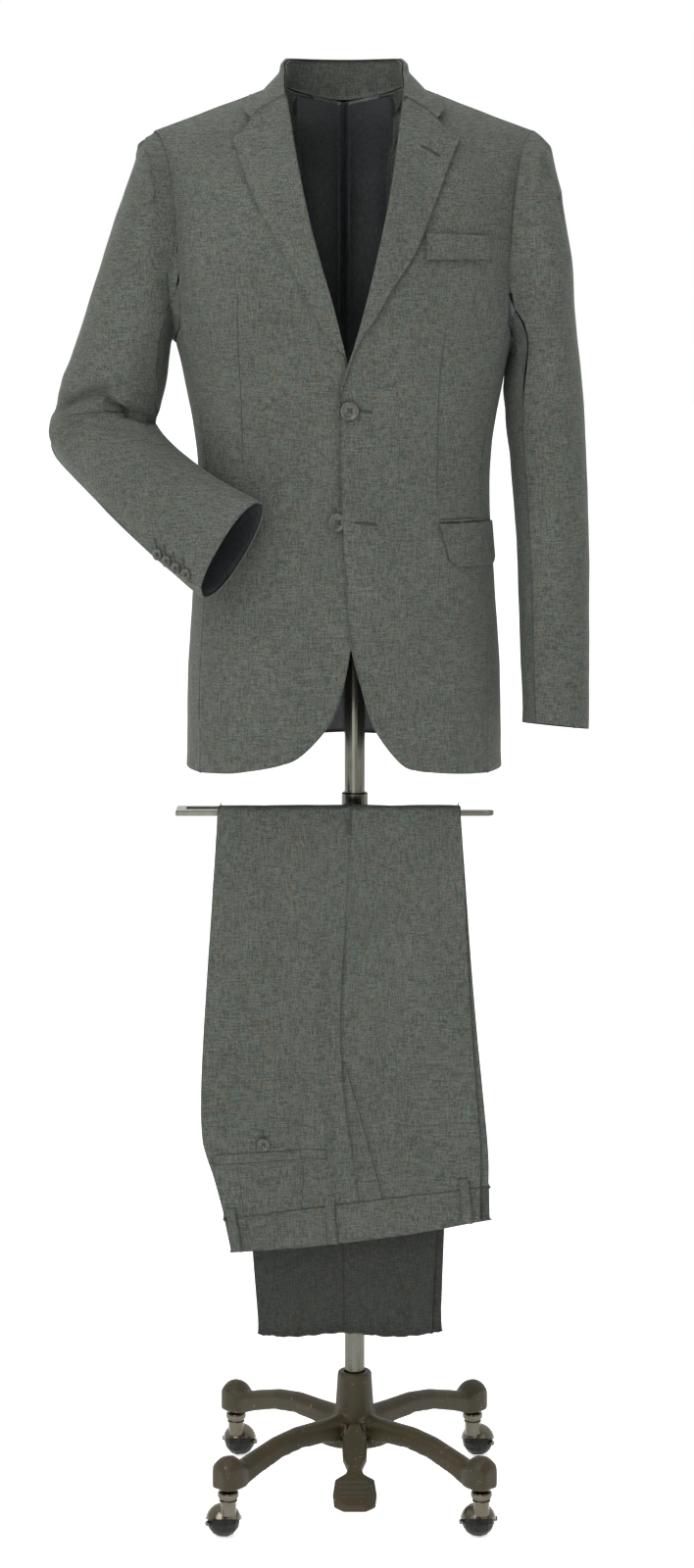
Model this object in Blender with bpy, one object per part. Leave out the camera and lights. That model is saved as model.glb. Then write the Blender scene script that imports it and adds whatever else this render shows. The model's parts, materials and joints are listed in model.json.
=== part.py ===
"""A two-piece suit on a wheeled stand: a fastened jacket in its worn, hollow form, and trousers
folded over the stand's rail.

Sizes are in millimetres and become metres in add_solid. +Z is up, the wearer faces -Y, and the
wearer's left is +X. The pole's axis is x = 0, y = 0 until the empty named suit_origin moves all.
"""

import math

import bmesh
import bpy
import numpy as np

MM = 0.001
ORIGIN_SHIFT = (41.0, -1.0)  # x and y from the pole's axis to the middle of the whole object
GAP = 0.3  # between pieces that touch

# Jacket cloth
CLOTH = 1.8
LEAF_CLOTH = 2.4  # lapels and collar are two layers
FLAP_CLOTH = 1.6
CENTRE_X = -12.5
SQUARENESS = 2.4

# Rings of the jacket's body, from the hem up.
# height, half width, depth in front of the axis, depth behind it
BODY_RINGS = (
    (870, 181.5, 128, 130),
    (950, 181.5, 127, 130),
    (1020, 179, 125, 127),
    (1090, 173.5, 122, 117),
    (1160, 168.5, 120, 105),
    (1235, 165.5, 119, 100),
    (1300, 175, 124, 110),
    (1345, 185, 130, 121),
    (1400, 195, 133, 128),
)
CHEST_TOP = 1400.0  # above this the body closes over the shoulders
YOKE_TOP = 1662.0  # height parameter of the shoulder seam
RIDGE_Y = 4.0
RIDGE_WIDTH = 228.0
NECK_X = 72.0
NECK_Z = 1661.0
SHOULDER_SLOPE = 0.375

# Seams of the body, as angles round it: 0 is the middle of the front and 90 the side.
SHOULDER_ANGLE = 68.2
NECK_ANGLE = 15.0
FRONT_SEAM = ((62, 884), (62, 1000), (64, 1150), (67, 1300), (69, 1392))
BACK_SEAM = ((118, 889), (117, 1000), (115, 1150), (113, 1300), (111, 1395))
ARMHOLE_FRONT = ((69, 1392), (68.3, 1440), (68, 1500), (68, 1570), (SHOULDER_ANGLE, YOKE_TOP))
ARMHOLE_BACK = (
    (111, 1395),
    (111.7, 1440),
    (112, 1500),
    (112, 1570),
    (180 - SHOULDER_ANGLE, YOKE_TOP),
)
ARMPIT = (90, 1372)
PIT_EASE = 1.8
SIDE_HEM = 884.0
BACK_HEM = 906.0
BACK_NECK = 1589.0  # height parameter of the back neckline at its middle
SEAM_ROWS = 9
ARMHOLE_ROWS = 7
FRONT_COLUMNS = 7
SIDE_COLUMNS = 4
BACK_COLUMNS = 5

# Front edges, as x and z seen from the front. Each goes up from the middle of the cutaway's corner.
LEFT_CORNER = (50, 902)
LEFT_EDGE = (
    LEFT_CORNER,
    (35, 916),
    (23, 937),
    (14, 961),
    (5, 994),
    (-7, 1047),
    (-12, 1140),
    (-16, 1224),
    (-19, 1305),
    (-14, 1328),
    (-6, 1352),
    (12, 1412),
    (31, 1494),
    (43, 1560),
    (51, 1625),
    (60, 1660),
)
RIGHT_CORNER = (-59, 911)
RIGHT_EDGE = (
    RIGHT_CORNER,
    (-42, 924),
    (-31, 940),
    (-20, 963),
    (-10, 1000),
    (-5, 1034),
    (7, 1090),
    (9, 1200),
    (6, 1290),
    (0, 1320),
    (-9, 1352),
    (-22, 1405),
    (-46, 1487),
    (-62, 1560),
    (-73, 1625),
    (-82, 1660),
)
LEFT_HEM = ((64, 894), (94, 889), (124, 886))
RIGHT_HEM = ((-75, 902), (-94, 896), (-118, 891), (-140, 887))
OVERLAP_FROM, OVERLAP_TO = 60.0, 24.0  # the left front rises over the right one between these x
OVERLAP_GAP = 1.0
BUTTON_RISE = 6.0  # the left front's edge rides over the lower button
BUTTON_RISE_REACH = 50.0
BUTTON_RISE_FROM, BUTTON_RISE_TO = 45.0, 2.0

# Lapels, as x and z seen from the front, from the break of the roll up to the gorge
LEFT_ROLL = ((-17, 1318), (-6, 1352), (12, 1412), (31, 1494), (43, 1560), (50, 1615), (55, 1640))
LEFT_LAPEL = ((-19, 1312), (2, 1370), (32, 1418), (64, 1466), (84, 1515), (101, 1560), (116, 1597))
LEFT_NOTCH = (93, 1611)
RIGHT_ROLL = ((-10, 1357), (-22, 1405), (-46, 1487), (-62, 1560), (-71, 1612), (-76, 1640))
RIGHT_LAPEL = ((-14, 1361), (-52, 1418), (-89, 1490), (-110, 1529), (-125, 1566), (-136, 1597))
RIGHT_NOTCH = (-112, 1613)
LAPEL_ROWS = 12
LAPEL_COLUMNS = 4
LAPEL_ROLL_LIFT = 3.5

# Collar leaf and stand, on one side of the middle: across, y, z
COLLAR_FOLD = (
    (0, 58, 1691),
    (34, 51, 1691),
    (57, 30, 1690),
    (66, 5, 1687),
    (68, -22, 1672),
    (66, -50, 1646),
)
COLLAR_EDGE_BACK = ((180, 1560), (171, 1568), (164, 1592), (160, 1628))
COLLAR_EDGE_RIDGE = 98.0
COLLAR_CORNER = (111, 1626)
COLLAR_NOTCH = (100, 1617)
COLLAR_HALF_COLUMNS = 9
COLLAR_LIFT = 1.5  # of the leaf over the jacket
COLLAR_ROUND = 4.5  # how far the leaf bulges below its fold
COLLAR_MIDDLE_Z = 1560.0
COLLAR_NOTCH_SHARE = 0.72  # of the way from the fold to the leaf's edge
STAND_FRONT = (68, 1652)
STAND_FOOT_GAP, STAND_HEAD_GAP = 3.2, 1.0
STAND_INSET = 0.8
BACK_NECK_SIDE = (168, 0.4 * YOKE_TOP + 0.6 * BACK_NECK)  # of the back neckline, halfway

# Pockets of the jacket: angle and height of the corners
FLAP = ((35, 1170), (79, 1170), (84, 1121), (38.5, 1121))
FLAP_ROUND = 9.0
WELT = ((78, 1492), (146, 1490), (149, 1464), (78, 1463))

# Buttons: x and z seen from the front
FRONT_BUTTON_RADIUS = 10.3
FRONT_BUTTON_HEIGHT = 4.0
FASTENED_BUTTON = (-6, 1298)
LOWER_BUTTON = (-19, 1173)
CUFF_BUTTON_RADIUS = 5.4
CUFF_BUTTON_HEIGHT = 2.6

# Sleeve sections. outer x, outer z, inner x, inner z, y, half depth, back seam, front seam, swell
# The inner point faces the body. The seams are angles round the section: 0 inner, 90 front.
RIGHT_SLEEVE = (
    (-243, 1596, -208, 1374, 2, 64, 242, 52, 0),
    (-262, 1541, -209, 1366, 0, 69, 240, 52, 2),
    (-284, 1478, -210, 1356, -1, 71, 236, 50, 0),
    (-305, 1414, -211, 1344, -2, 70, 230, 46, 0),
    (-327, 1348, -213, 1326, -3, 67, 222, 40, 0),
    (-343, 1306, -219, 1305, -4, 63, 212, 32, 3),
    (-351, 1283, -224, 1288, -5, 57, 205, 24, -5),
    (-352, 1262, -225, 1272, -8, 57, 196, 16, 3),
    (-338, 1238, -219, 1263, -22, 54, 186, 8, 2),
    (-312, 1210, -199, 1247, -48, 50, 176, 2, 0),
    (-276, 1174, -172, 1231, -82, 44, 166, -4, 0),
    (-233, 1135, -143, 1215, -112, 38, 156, -8, 0),
    (-196, 1106, -119, 1205, -135, 33, 148, -12, 0),
    (-169, 1089, -104, 1198, -150, 30, 144, -14, 0),
)
LEFT_SLEEVE = (
    (218, 1593, 184, 1374, 2, 64, 242, 52, 0),
    (232, 1541, 184, 1365, 0, 68, 242, 52, 1),
    (241, 1478, 183, 1353, 1, 69, 242, 52, 0),
    (251, 1410, 181, 1334, 3, 66, 240, 52, 0),
    (261, 1330, 177, 1302, 5, 61, 240, 52, 0),
    (266, 1262, 175, 1256, 4, 57, 240, 52, 2),
    (268.5, 1200, 180, 1200, 0, 54, 240, 52, 0),
    (270, 1130, 185, 1130, -8, 50, 238, 52, 2),
    (270.5, 1060, 187.5, 1060, -18, 47, 236, 52, 0),
    (270, 995, 190, 995, -28, 45, 234, 52, 1),
    (269.5, 930, 192, 938, -36, 43, 232, 52, 0),
)
ARMHOLE_GAP = 0.8
UNDERARM_GAP = 1.2
CAP_COLUMNS, BACK_CAP_COLUMNS = 6, 4  # of the topsleeve, before and behind the shoulder
BACK_CAP_STOPS = (6, 5, 3, 1)  # armhole points that the back columns start from
UNDERSLEEVE_COLUMNS = 6
CUFF_BUTTONS_FROM_HEM = 18.0
CUFF_BUTTON_STEP = 12.0
CUFF_BUTTON_SEAT = 0.9
SEAM_ANGLE = 0.18  # degrees round a sleeve, half of a seam's gap

# Stand
POLE_RADIUS = 12.0
POLE_FOOT, POLE_TOP = 112.3, 1075.0
CLAMP_RADIUS = 15.5
CLAMP_LOW, CLAMP_HIGH = 829.0, 852.0
CLAMP_BORE_GAP = 0.3
RAIL_Z = 835.0
RAIL_HALF_HEIGHT = 3.0
RAIL_Y = -52.0
RAIL_HALF_DEPTH = 7.0
RAIL_LEFT, RAIL_RIGHT = -206.0, 160.0
RAIL_BACK_Y = -20.0
RAIL_BACK_HALF = 5.0
RAIL_END_WIDTH = 12.0
RAIL_TIP = 2.0
RAIL_FOOT = (7.0, -13.0, -9.0)  # where the back rail meets the clamp: half width, y, x of its last bend
HUB_PROFILE = (
    (0, 86),
    (26, 86),
    (27, 96),
    (23, 112),
    (20.6, 152),
    (20.6, 155),
    (18.6, 157),
    (12.3, 157),
    (12.3, 112),
    (0, 112),
)
# Stations of a leg of the base: distance from the axis, half width, bottom, top
LEG_STATIONS = (
    (16, 13, 87, 109),
    (34, 13, 80, 108),
    (60, 12, 83, 108),
    (95, 11, 85, 109),
    (130, 11, 81, 105),
    (165, 11.5, 71, 96),
    (186, 12, 63, 90),
    (191, 14.5, 62, 94),
    (199, 16.5, 62, 99.5),
    (208, 17, 62, 100.5),
    (217, 15, 62, 97),
    (222, 10, 63, 88),
)
CASTER_REACH = 206.5
BRACE_INNER, BRACE_OUTER = 37.0, 46.0
BRACE_LOW, BRACE_HIGH = 73.0, 83.0
PEDAL_PIVOT = (-35.5, 94.0)
# Stations of the pedal: y, middle z, half width, half thickness
PEDAL_STATIONS = (
    (-28, 94, 6, 6),
    (-36, 95, 7, 8),
    (-52, 96, 9, 10),
    (-68, 88, 15, 9),
    (-88, 77, 14, 8),
    (-104, 69, 8, 7),
    (-114, 64, 11, 6),
    (-122, 61, 23, 5.5),
    (-148, 53, 25.5, 5.5),
    (-166, 47.5, 24, 5),
    (-173, 45.5, 15, 4),
)
PEDAL_AXLE_RADIUS = 3.0
PEDAL_AXLE_HALF = 14.0
LUG_RADIUS = 8.0
LUG_INNER, LUG_OUTER = 8.0, 13.6
LUG_WEB = (-30.5, -18.0, 6.0, 0.4)  # y from and to, half height, how much thinner on each side
BALL_RADIUS = 19.0
BALL_GAP = 0.6
HOOD_WALL = 1.6
HOOD_TILT = 22.0
HOOD_REACH = 92.0  # degrees from the hood's own axis to its rim
CASTER_TRAIL = 12.0
# x and y sides of each caster, and the direction in which its ball trails, in degrees from +X
CASTERS = (
    ("front_left", 1, -1, 105.0),
    ("front_right", -1, -1, 120.0),
    ("back_left", 1, 1, 55.0),
    ("back_right", -1, 1, 70.0),
)
CASTER_PROFILE = (
    (0, 34),
    (6, 34),
    (9.5, 34),
    (9.5, 50),
    (12, 51),
    (12.6, 54),
    (12, 57.5),
    (8, 58.5),
    (5, 59),
    (5, 61.7),
    (0, 61.7),
)

# Trousers: the cloth, and rows from the waist's edge over the rail to the hems.
TROUSER_CLOTH = 1.0
LAYER_GAP = 0.45
WAIST_SPREAD = 2.6
HEM_SPREAD = 1.6
BAND_CLOTH = 2.0
BAND_ROWS = 2
RAIL_ROUND = 1.0
# Front drop: z and x of the left edge, z and x of the right edge, x of the side seam,
# x where the inner layers end at the back and at the front
FRONT_DROP = (
    (360, -151, 398, 145, 5, -88, 72),
    (405, -162, 425, 146, 2, -92, 68),
    (450, -176, 462, 144.5, -7, -96, 58),
    (503, -178, 510, 140.5, -13, -90, 40),
    (548, -176.5, 552, 137, -16.5, -66, 16),
    (590, -174, 590, 134.5, -17, -18.5, -15.5),
    (650, -170, 650, 130.5, -16, -17.5, -14.5),
    (740, -163.5, 740, 126, -7, -8.5, -5.5),
    (RAIL_Z, -157, RAIL_Z, 121, -3, -4.5, -1.5),
)
BAND_EDGE = (321, -143, 358, 145, 5, -88, 72)
BAND_SAG = 7.0  # the waist's edge dips under a straight line between its corners
# Back drop, the same columns
BACK_DROP = (
    (RAIL_Z, -154, RAIL_Z, 119, -3, -4.5, -1.5),
    (700, -144, 700, 116, -7, -8.5, -5.5),
    (520, -129, 520, 111, -7, -8.5, -5.5),
    (350, -114, 350, 105, -5, -6.5, -3.5),
    (214, -101, 214, 101, -3, -4.5, -1.5),
)
FAR_SHIFT_FRONT, FAR_SHIFT_BACK = 12.0, -11.0
WAVE_FRONT, WAVE_BACK = 4.0, 3.0
WAVE_LENGTH = 300.0
LOOP_HALF_WIDTH = 5.5
LOOP_CLOTH = 1.4
LOOP_TAIL = 13.0
LOOP_BOW, LOOP_SHOULDER = 2.2, 1.6  # how far a loop stands off the band at its middle and beside it
LOOP_SEAT = 0.7
TURN_COLUMNS = 3  # round a crease
OUTER_COLUMNS = 3
DROP_FROM = 12.0  # distance from the rail's middle at which a drop's spread starts
# name, x at the waist's edge, x at the upper end
LOOPS = (("back", -136.0, -145.0), ("side", -25.5, -29.5), ("front", 131.5, 126.5))
BACK_POCKET = (-164.0, -33.0, 425.0, 436.0, 8.0)  # x from and to, z low and high, rise to the front
BACK_POCKET_BUTTON = (-106.0, 449.0)
BACK_BUTTON_RADIUS = 7.8


def make_material(name, colour, roughness, metallic=0.0):
    """A plain finish."""
    material = bpy.data.materials.new(name)
    material.use_nodes = True
    shader = material.node_tree.nodes["Principled BSDF"]
    shader.inputs["Base Color"].default_value = (*colour, 1.0)
    shader.inputs["Roughness"].default_value = roughness
    shader.inputs["Metallic"].default_value = metallic
    return material


def add_solid(name, vertices, faces, material):
    """A closed mesh object from points in millimetres."""
    mesh = bpy.data.meshes.new(name)
    mesh.from_pydata([tuple(float(c) * MM for c in point) for point in vertices], [], faces)
    shape = bmesh.new()
    shape.from_mesh(mesh)
    bmesh.ops.recalc_face_normals(shape, faces=shape.faces)
    shape.to_mesh(mesh)
    shape.free()
    mesh.shade_smooth()
    mesh.set_sharp_from_angle(angle=math.radians(40))
    mesh.materials.append(material)
    piece = bpy.data.objects.new(name, mesh)
    bpy.context.scene.collection.objects.link(piece)
    piece.parent = origin
    return piece


def shell(name, outer, inner, material):
    """A closed wall between two grids of points, indexed [row][column]."""
    rows, columns = outer.shape[:2]
    points = np.concatenate([outer.reshape(-1, 3), inner.reshape(-1, 3)])
    back = rows * columns

    def at(row, column):
        return row * columns + column

    faces = []
    for row in range(rows - 1):
        for column in range(columns - 1):
            quad = (
                at(row, column),
                at(row, column + 1),
                at(row + 1, column + 1),
                at(row + 1, column),
            )
            faces.append(quad)
            faces.append(tuple(back + corner for corner in reversed(quad)))
    rim = [at(0, column) for column in range(columns)]
    rim += [at(row, columns - 1) for row in range(1, rows)]
    rim += [at(rows - 1, column) for column in range(columns - 2, -1, -1)]
    rim += [at(row, 0) for row in range(rows - 2, 0, -1)]
    for index, corner in enumerate(rim):
        after = rim[(index + 1) % len(rim)]
        faces.append((after, corner, back + corner, back + after))
    return add_solid(name, points, faces, material)


def loft(name, rings, material):
    """A closed solid through rings of the same number of points."""
    rings = np.array(rings, float)
    count, sides = rings.shape[:2]
    faces = [tuple(range(sides))[::-1]]
    for ring in range(count - 1):
        for side in range(sides):
            after = (side + 1) % sides
            low = ring * sides
            faces.append((low + side, low + after, low + sides + after, low + sides + side))
    faces.append(tuple((count - 1) * sides + side for side in range(sides)))
    return add_solid(name, rings.reshape(-1, 3), faces, material)


def turned(profile, steps, place=None):
    """Vertices and faces of a profile of (radius, height) turned about an axis.

    The profile starts and ends on the axis. place maps a local point to its place.
    """
    points = []
    starts = []
    for radius, height in profile:
        starts.append(len(points))
        count = steps if radius > 0 else 1
        for step in range(count):
            turn = 2 * math.pi * step / steps
            points.append((radius * math.cos(turn), radius * math.sin(turn), height))
    faces = []
    for index in range(len(profile) - 1):
        low, high = starts[index], starts[index + 1]
        for step in range(steps):
            after = (step + 1) % steps
            if profile[index][0] == 0:
                faces.append((low, high + after, high + step))
            elif profile[index + 1][0] == 0:
                faces.append((low + step, low + after, high))
            else:
                faces.append((low + step, low + after, high + after, high + step))
    if place is not None:
        points = [place(np.array(point, float)) for point in points]
    return points, faces


def axis_place(centre, axis, start=(1.0, 0.0, 0.0)):
    """Maps local points so that local +Z lies along the axis."""
    up = np.array(axis, float) / np.linalg.norm(axis)
    side = np.array(start, float) - np.dot(start, up) * up
    side /= np.linalg.norm(side)
    front = np.cross(up, side)
    middle = np.array(centre, float)
    return lambda point: middle + side * point[0] + front * point[1] + up * point[2]


def join(piece, other):
    """Makes the other solid one with the piece."""
    other.hide_render = True
    other.display_type = "WIRE"
    union = piece.modifiers.new("join_" + other.name, "BOOLEAN")
    union.operation = "UNION"
    union.solver = "EXACT"
    union.object = other


def smooth_line(points, count, weights=None):
    """count + 1 points, evenly spaced, on a smooth line through the given points."""
    points = np.array(points, float)
    if len(points) == 2:
        steps = np.linspace(0, 1, count + 1)[:, None]
        return points[0] + (points[1] - points[0]) * steps
    ends = np.concatenate([[2 * points[0] - points[1]], points, [2 * points[-1] - points[-2]]])
    fine = []
    for index in range(len(points) - 1):
        a, b, c, d = ends[index : index + 4]
        for t in np.linspace(0, 1, 12, endpoint=False):
            fine.append(
                0.5
                * (
                    2 * b
                    + (c - a) * t
                    + (2 * a - 5 * b + 4 * c - d) * t * t
                    + (3 * b - a - 3 * c + d) * t**3
                )
            )
    fine.append(points[-1])
    fine = np.array(fine)
    steps = np.diff(fine, axis=0) * (np.ones(fine.shape[1]) if weights is None else weights)
    along = np.concatenate([[0], np.cumsum(np.linalg.norm(steps, axis=1))])
    wanted = np.linspace(0, along[-1], count + 1)
    return np.stack([np.interp(wanted, along, fine[:, k]) for k in range(fine.shape[1])], axis=1)


def smooth_value(heights, values, height):
    """A value on a smooth line through (height, value) pairs."""
    index = int(np.clip(np.searchsorted(heights, height) - 1, 0, len(heights) - 2))
    low, high = heights[index], heights[index + 1]
    t = (height - low) / (high - low)
    before = values[max(index - 1, 0)]
    after = values[min(index + 2, len(values) - 1)]
    a, b = values[index], values[index + 1]
    slope_a = (b - before) / 2
    slope_b = (after - a) / 2
    return (
        a * (1 + 2 * t) * (1 - t) ** 2
        + slope_a * t * (1 - t) ** 2
        + b * t * t * (3 - 2 * t)
        + slope_b * t * t * (t - 1)
    )


def patch(bottom, top, first, last):
    """Grid of points between four edges. Rows go from bottom to top, columns from first to last."""
    bottom, top = np.array(bottom), np.array(top)
    first, last = np.array(first), np.array(last)
    u = np.linspace(0, 1, len(bottom))[None, :, None]
    v = np.linspace(0, 1, len(first))[:, None, None]
    across = first[:, None] * (1 - u) + last[:, None] * u
    along = bottom[None] * (1 - v) + top[None] * v
    corners = (bottom[0] * (1 - u) + bottom[-1] * u) * (1 - v) + (top[0] * (1 - u) + top[-1] * u) * v
    return across + along - corners


RING_TABLE = np.array(BODY_RINGS, float)
DEGREE_WIDTH = 3.0  # a degree round the body, in millimetres
ANGLE_WEIGHT = np.array((DEGREE_WIDTH, 1.0))


def body_point(angle, height):
    """The inner face of the jacket's body. Above CHEST_TOP, height runs over the shoulder to the ridge."""
    level = min(height, CHEST_TOP)
    half, front, behind = (smooth_value(RING_TABLE[:, 0], RING_TABLE[:, k], level) for k in (1, 2, 3))
    turn = math.radians(angle)
    sine, cosine = math.sin(turn), math.cos(turn)
    across = math.copysign(abs(sine) ** (2 / SQUARENESS), sine)
    depth = math.copysign(abs(cosine) ** (2 / SQUARENESS), -cosine)
    x = half * across
    y = depth * (front if depth < 0 else behind)
    if height <= CHEST_TOP:
        return np.array((CENTRE_X + x, y, height))
    turn = 0.5 * math.pi * (height - CHEST_TOP) / (YOKE_TOP - CHEST_TOP)
    rise, ease = math.sin(turn), 1 - math.cos(turn)
    ridge_x = RIDGE_WIDTH * across
    beyond = abs(ridge_x) - NECK_X
    ridge_z = NECK_Z - SHOULDER_SLOPE * max(beyond, 0) - 0.1 * min(beyond, 0)
    return np.array(
        (
            CENTRE_X + x + (ridge_x - x) * ease,
            y + (RIDGE_Y - y) * ease,
            CHEST_TOP + (ridge_z - CHEST_TOP) * rise,
        )
    )


def body_normal(angle, height):
    """The outward direction of the body's surface."""
    step = 0.5
    high = min(height + step, YOKE_TOP)
    low = high - 2 * step
    across = body_point(angle + step, height) - body_point(angle - step, height)
    along = body_point(angle, high) - body_point(angle, low)
    normal = np.cross(across, along)
    return normal / np.linalg.norm(normal)


def front_spot(x, z):
    """Angle and height of the point of the body's front that is seen at x and z."""
    angle, height = (x - CENTRE_X) / DEGREE_WIDTH, min(z, YOKE_TOP - 5)
    for _ in range(40):
        here = body_point(angle, height)
        miss = np.array((x - here[0], z - here[2]))
        by_angle = body_point(angle + 0.2, height) - here
        by_height = body_point(angle, height - 0.2) - here
        slopes = np.array(((by_angle[0], -by_height[0]), (by_angle[2], -by_height[2]))) / 0.2
        step = np.linalg.lstsq(slopes, miss, rcond=1e-3)[0]
        angle += float(np.clip(step[0], -6, 6)) * 0.8
        height = min(height + float(np.clip(step[1], -25, 25)) * 0.8, YOKE_TOP)
    return angle, height


def spots(points):
    """Angle and height for a list of x and z seen from the front."""
    return [front_spot(*point) for point in points]


def eased(value, start, end):
    """0 at start, 1 at end, with a soft step between."""
    t = min(max((value - start) / (end - start), 0), 1)
    return t * t * (3 - 2 * t)


def overlap_lift(x, z):
    """How far the left front rises over the right one, and over the lower button, at x and z."""
    rise = (CLOTH + OVERLAP_GAP) * eased(x, OVERLAP_FROM, OVERLAP_TO)
    near_button = math.exp(-(((z - LOWER_BUTTON[1]) / BUTTON_RISE_REACH) ** 2))
    return rise + BUTTON_RISE * near_button * eased(x, BUTTON_RISE_FROM, BUTTON_RISE_TO)


def body_shell(name, grid, lift, thickness, material):
    """A wall on the body over a grid of angles and heights. lift(point, row, column) raises it."""
    rows, columns = grid.shape[:2]
    outer = np.empty((rows, columns, 3))
    inner = np.empty((rows, columns, 3))
    for row in range(rows):
        for column in range(columns):
            angle, height = grid[row, column]
            point = body_point(angle, height)
            normal = body_normal(angle, height)
            raised = lift(point, row, column)
            inner[row, column] = point + normal * raised
            outer[row, column] = point + normal * (raised + thickness)
    return shell(name, outer, inner, material)


def flat_lift(point, row, column):
    return 0.0


def front_lift(point, row, column):
    return overlap_lift(point[0], point[2])


def seam_line(points, count):
    return smooth_line(points, count, ANGLE_WEIGHT)


def mirrored(points, side):
    """Angles on the wearer's left are positive, on the right negative."""
    return np.array(points, float) * np.array((side, 1.0))


def add_body(cloth):
    """Fronts, side bodies and backs. side is 1 for the wearer's left."""
    half_seam = 0.06  # degrees, half of a seam's gap
    ridge_gap = 0.2
    seam = seam_line(FRONT_SEAM, SEAM_ROWS)
    armhole = seam_line(ARMHOLE_FRONT, ARMHOLE_ROWS)
    front_last = np.concatenate([seam, armhole[1:]])
    back_seam = seam_line(BACK_SEAM, SEAM_ROWS)
    back_armhole = seam_line(ARMHOLE_BACK, ARMHOLE_ROWS)
    back_first = np.concatenate([back_seam, back_armhole[1:]])
    ridge = ((NECK_ANGLE, YOKE_TOP), (SHOULDER_ANGLE, YOKE_TOP))
    rows = SEAM_ROWS + ARMHOLE_ROWS
    for side, name, edge, hem in (
        (1, "left", LEFT_EDGE, LEFT_HEM),
        (-1, "right", RIGHT_EDGE, RIGHT_HEM),
    ):
        first = seam_line(spots(edge), rows)
        last = mirrored(front_last, side) - np.array((side * half_seam, 0))
        last[-1, 1] -= ridge_gap
        first[-1] = (side * ridge[0][0], YOKE_TOP - ridge_gap)
        top = np.linspace(first[-1], last[-1], FRONT_COLUMNS + 1)
        bottom = seam_line([first[0], *spots(hem), last[0]], FRONT_COLUMNS)
        grid = patch(bottom, top, first, last)
        lift = front_lift if side == 1 else flat_lift
        body_shell(f"front_{name}", grid, lift, CLOTH, cloth)

        side_first = mirrored(seam, side) + np.array((side * half_seam, 0))
        side_last = mirrored(back_seam, side) - np.array((side * half_seam, 0))
        vent = np.linspace(1.4, 0, SEAM_ROWS // 2 + 1)
        side_last[: len(vent), 0] -= side * vent
        pit = seam_line([seam[-1], ARMPIT, back_seam[-1]], SIDE_COLUMNS)
        pit[1:-1, 1] -= PIT_EASE
        side_top = mirrored(pit, side)
        side_top[0], side_top[-1] = side_first[-1], side_last[-1]
        side_bottom = np.linspace(side_first[0], side_last[0], SIDE_COLUMNS + 1)
        grid = patch(side_bottom, side_top, side_first, side_last)
        body_shell(f"side_{name}", grid, flat_lift, CLOTH, cloth)

        first = mirrored(back_first, side) + np.array((side * half_seam, 0))
        first[-1, 1] -= ridge_gap
        centre = np.linspace((180 - half_seam, BACK_HEM), (180 - half_seam, BACK_NECK), rows + 1)
        last = mirrored(centre, side)
        neck = seam_line(
            [
                (180 - NECK_ANGLE, YOKE_TOP - ridge_gap),
                BACK_NECK_SIDE,
                (180 - half_seam, BACK_NECK),
            ],
            2,
        )
        shoulder = np.linspace(
            (180 - SHOULDER_ANGLE, YOKE_TOP - ridge_gap), neck[0], BACK_COLUMNS - 1
        )
        top = mirrored(np.concatenate([shoulder, neck[1:]]), side)
        top[0] = first[-1]
        bottom = seam_line([first[0], (side * 150, 901), last[0]], BACK_COLUMNS)
        grid = patch(bottom, top, first, last)
        body_shell(f"back_{name}", grid, flat_lift, CLOTH, cloth)


def add_lapels(cloth):
    """The turned-back parts of the fronts, lying on them."""
    for name, roll, edge, notch in (
        ("left", LEFT_ROLL, LEFT_LAPEL, LEFT_NOTCH),
        ("right", RIGHT_ROLL, RIGHT_LAPEL, RIGHT_NOTCH),
    ):
        first = seam_line(spots(roll), LAPEL_ROWS)
        last = seam_line(spots(edge), LAPEL_ROWS)
        bottom = np.linspace(first[0], last[0], LAPEL_COLUMNS + 1)
        gorge = front_spot(*notch)
        inner_part = np.linspace(first[-1], gorge, LAPEL_COLUMNS - 1)
        outer_part = np.linspace(gorge, last[-1], 3)
        top = np.concatenate([inner_part, outer_part[1:]])
        grid = patch(bottom, top, first, last)
        over = front_lift if name == "left" else flat_lift

        def lift(point, row, column):
            roll_share = (1 - column / LAPEL_COLUMNS) ** 2 * math.sin(0.5 * math.pi * row / LAPEL_ROWS)
            return CLOTH + 1.5 * GAP + over(point, row, column) + LAPEL_ROLL_LIFT * roll_share

        body_shell(f"lapel_{name}", grid, lift, LEAF_CLOTH, cloth)


def on_body(angle, height, lift):
    return body_point(angle, height) + body_normal(angle, height) * lift


def both_sides(half):
    """Points of one side of the collar, made into a whole line from the wearer's right to left."""
    left = [np.array((CENTRE_X + p[0], p[1], p[2])) for p in half]
    right = [np.array((CENTRE_X - p[0], p[1], p[2])) for p in reversed(half[1:])]
    return right + left


def relative(point):
    return (point[0] - CENTRE_X, point[1], point[2])


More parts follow.
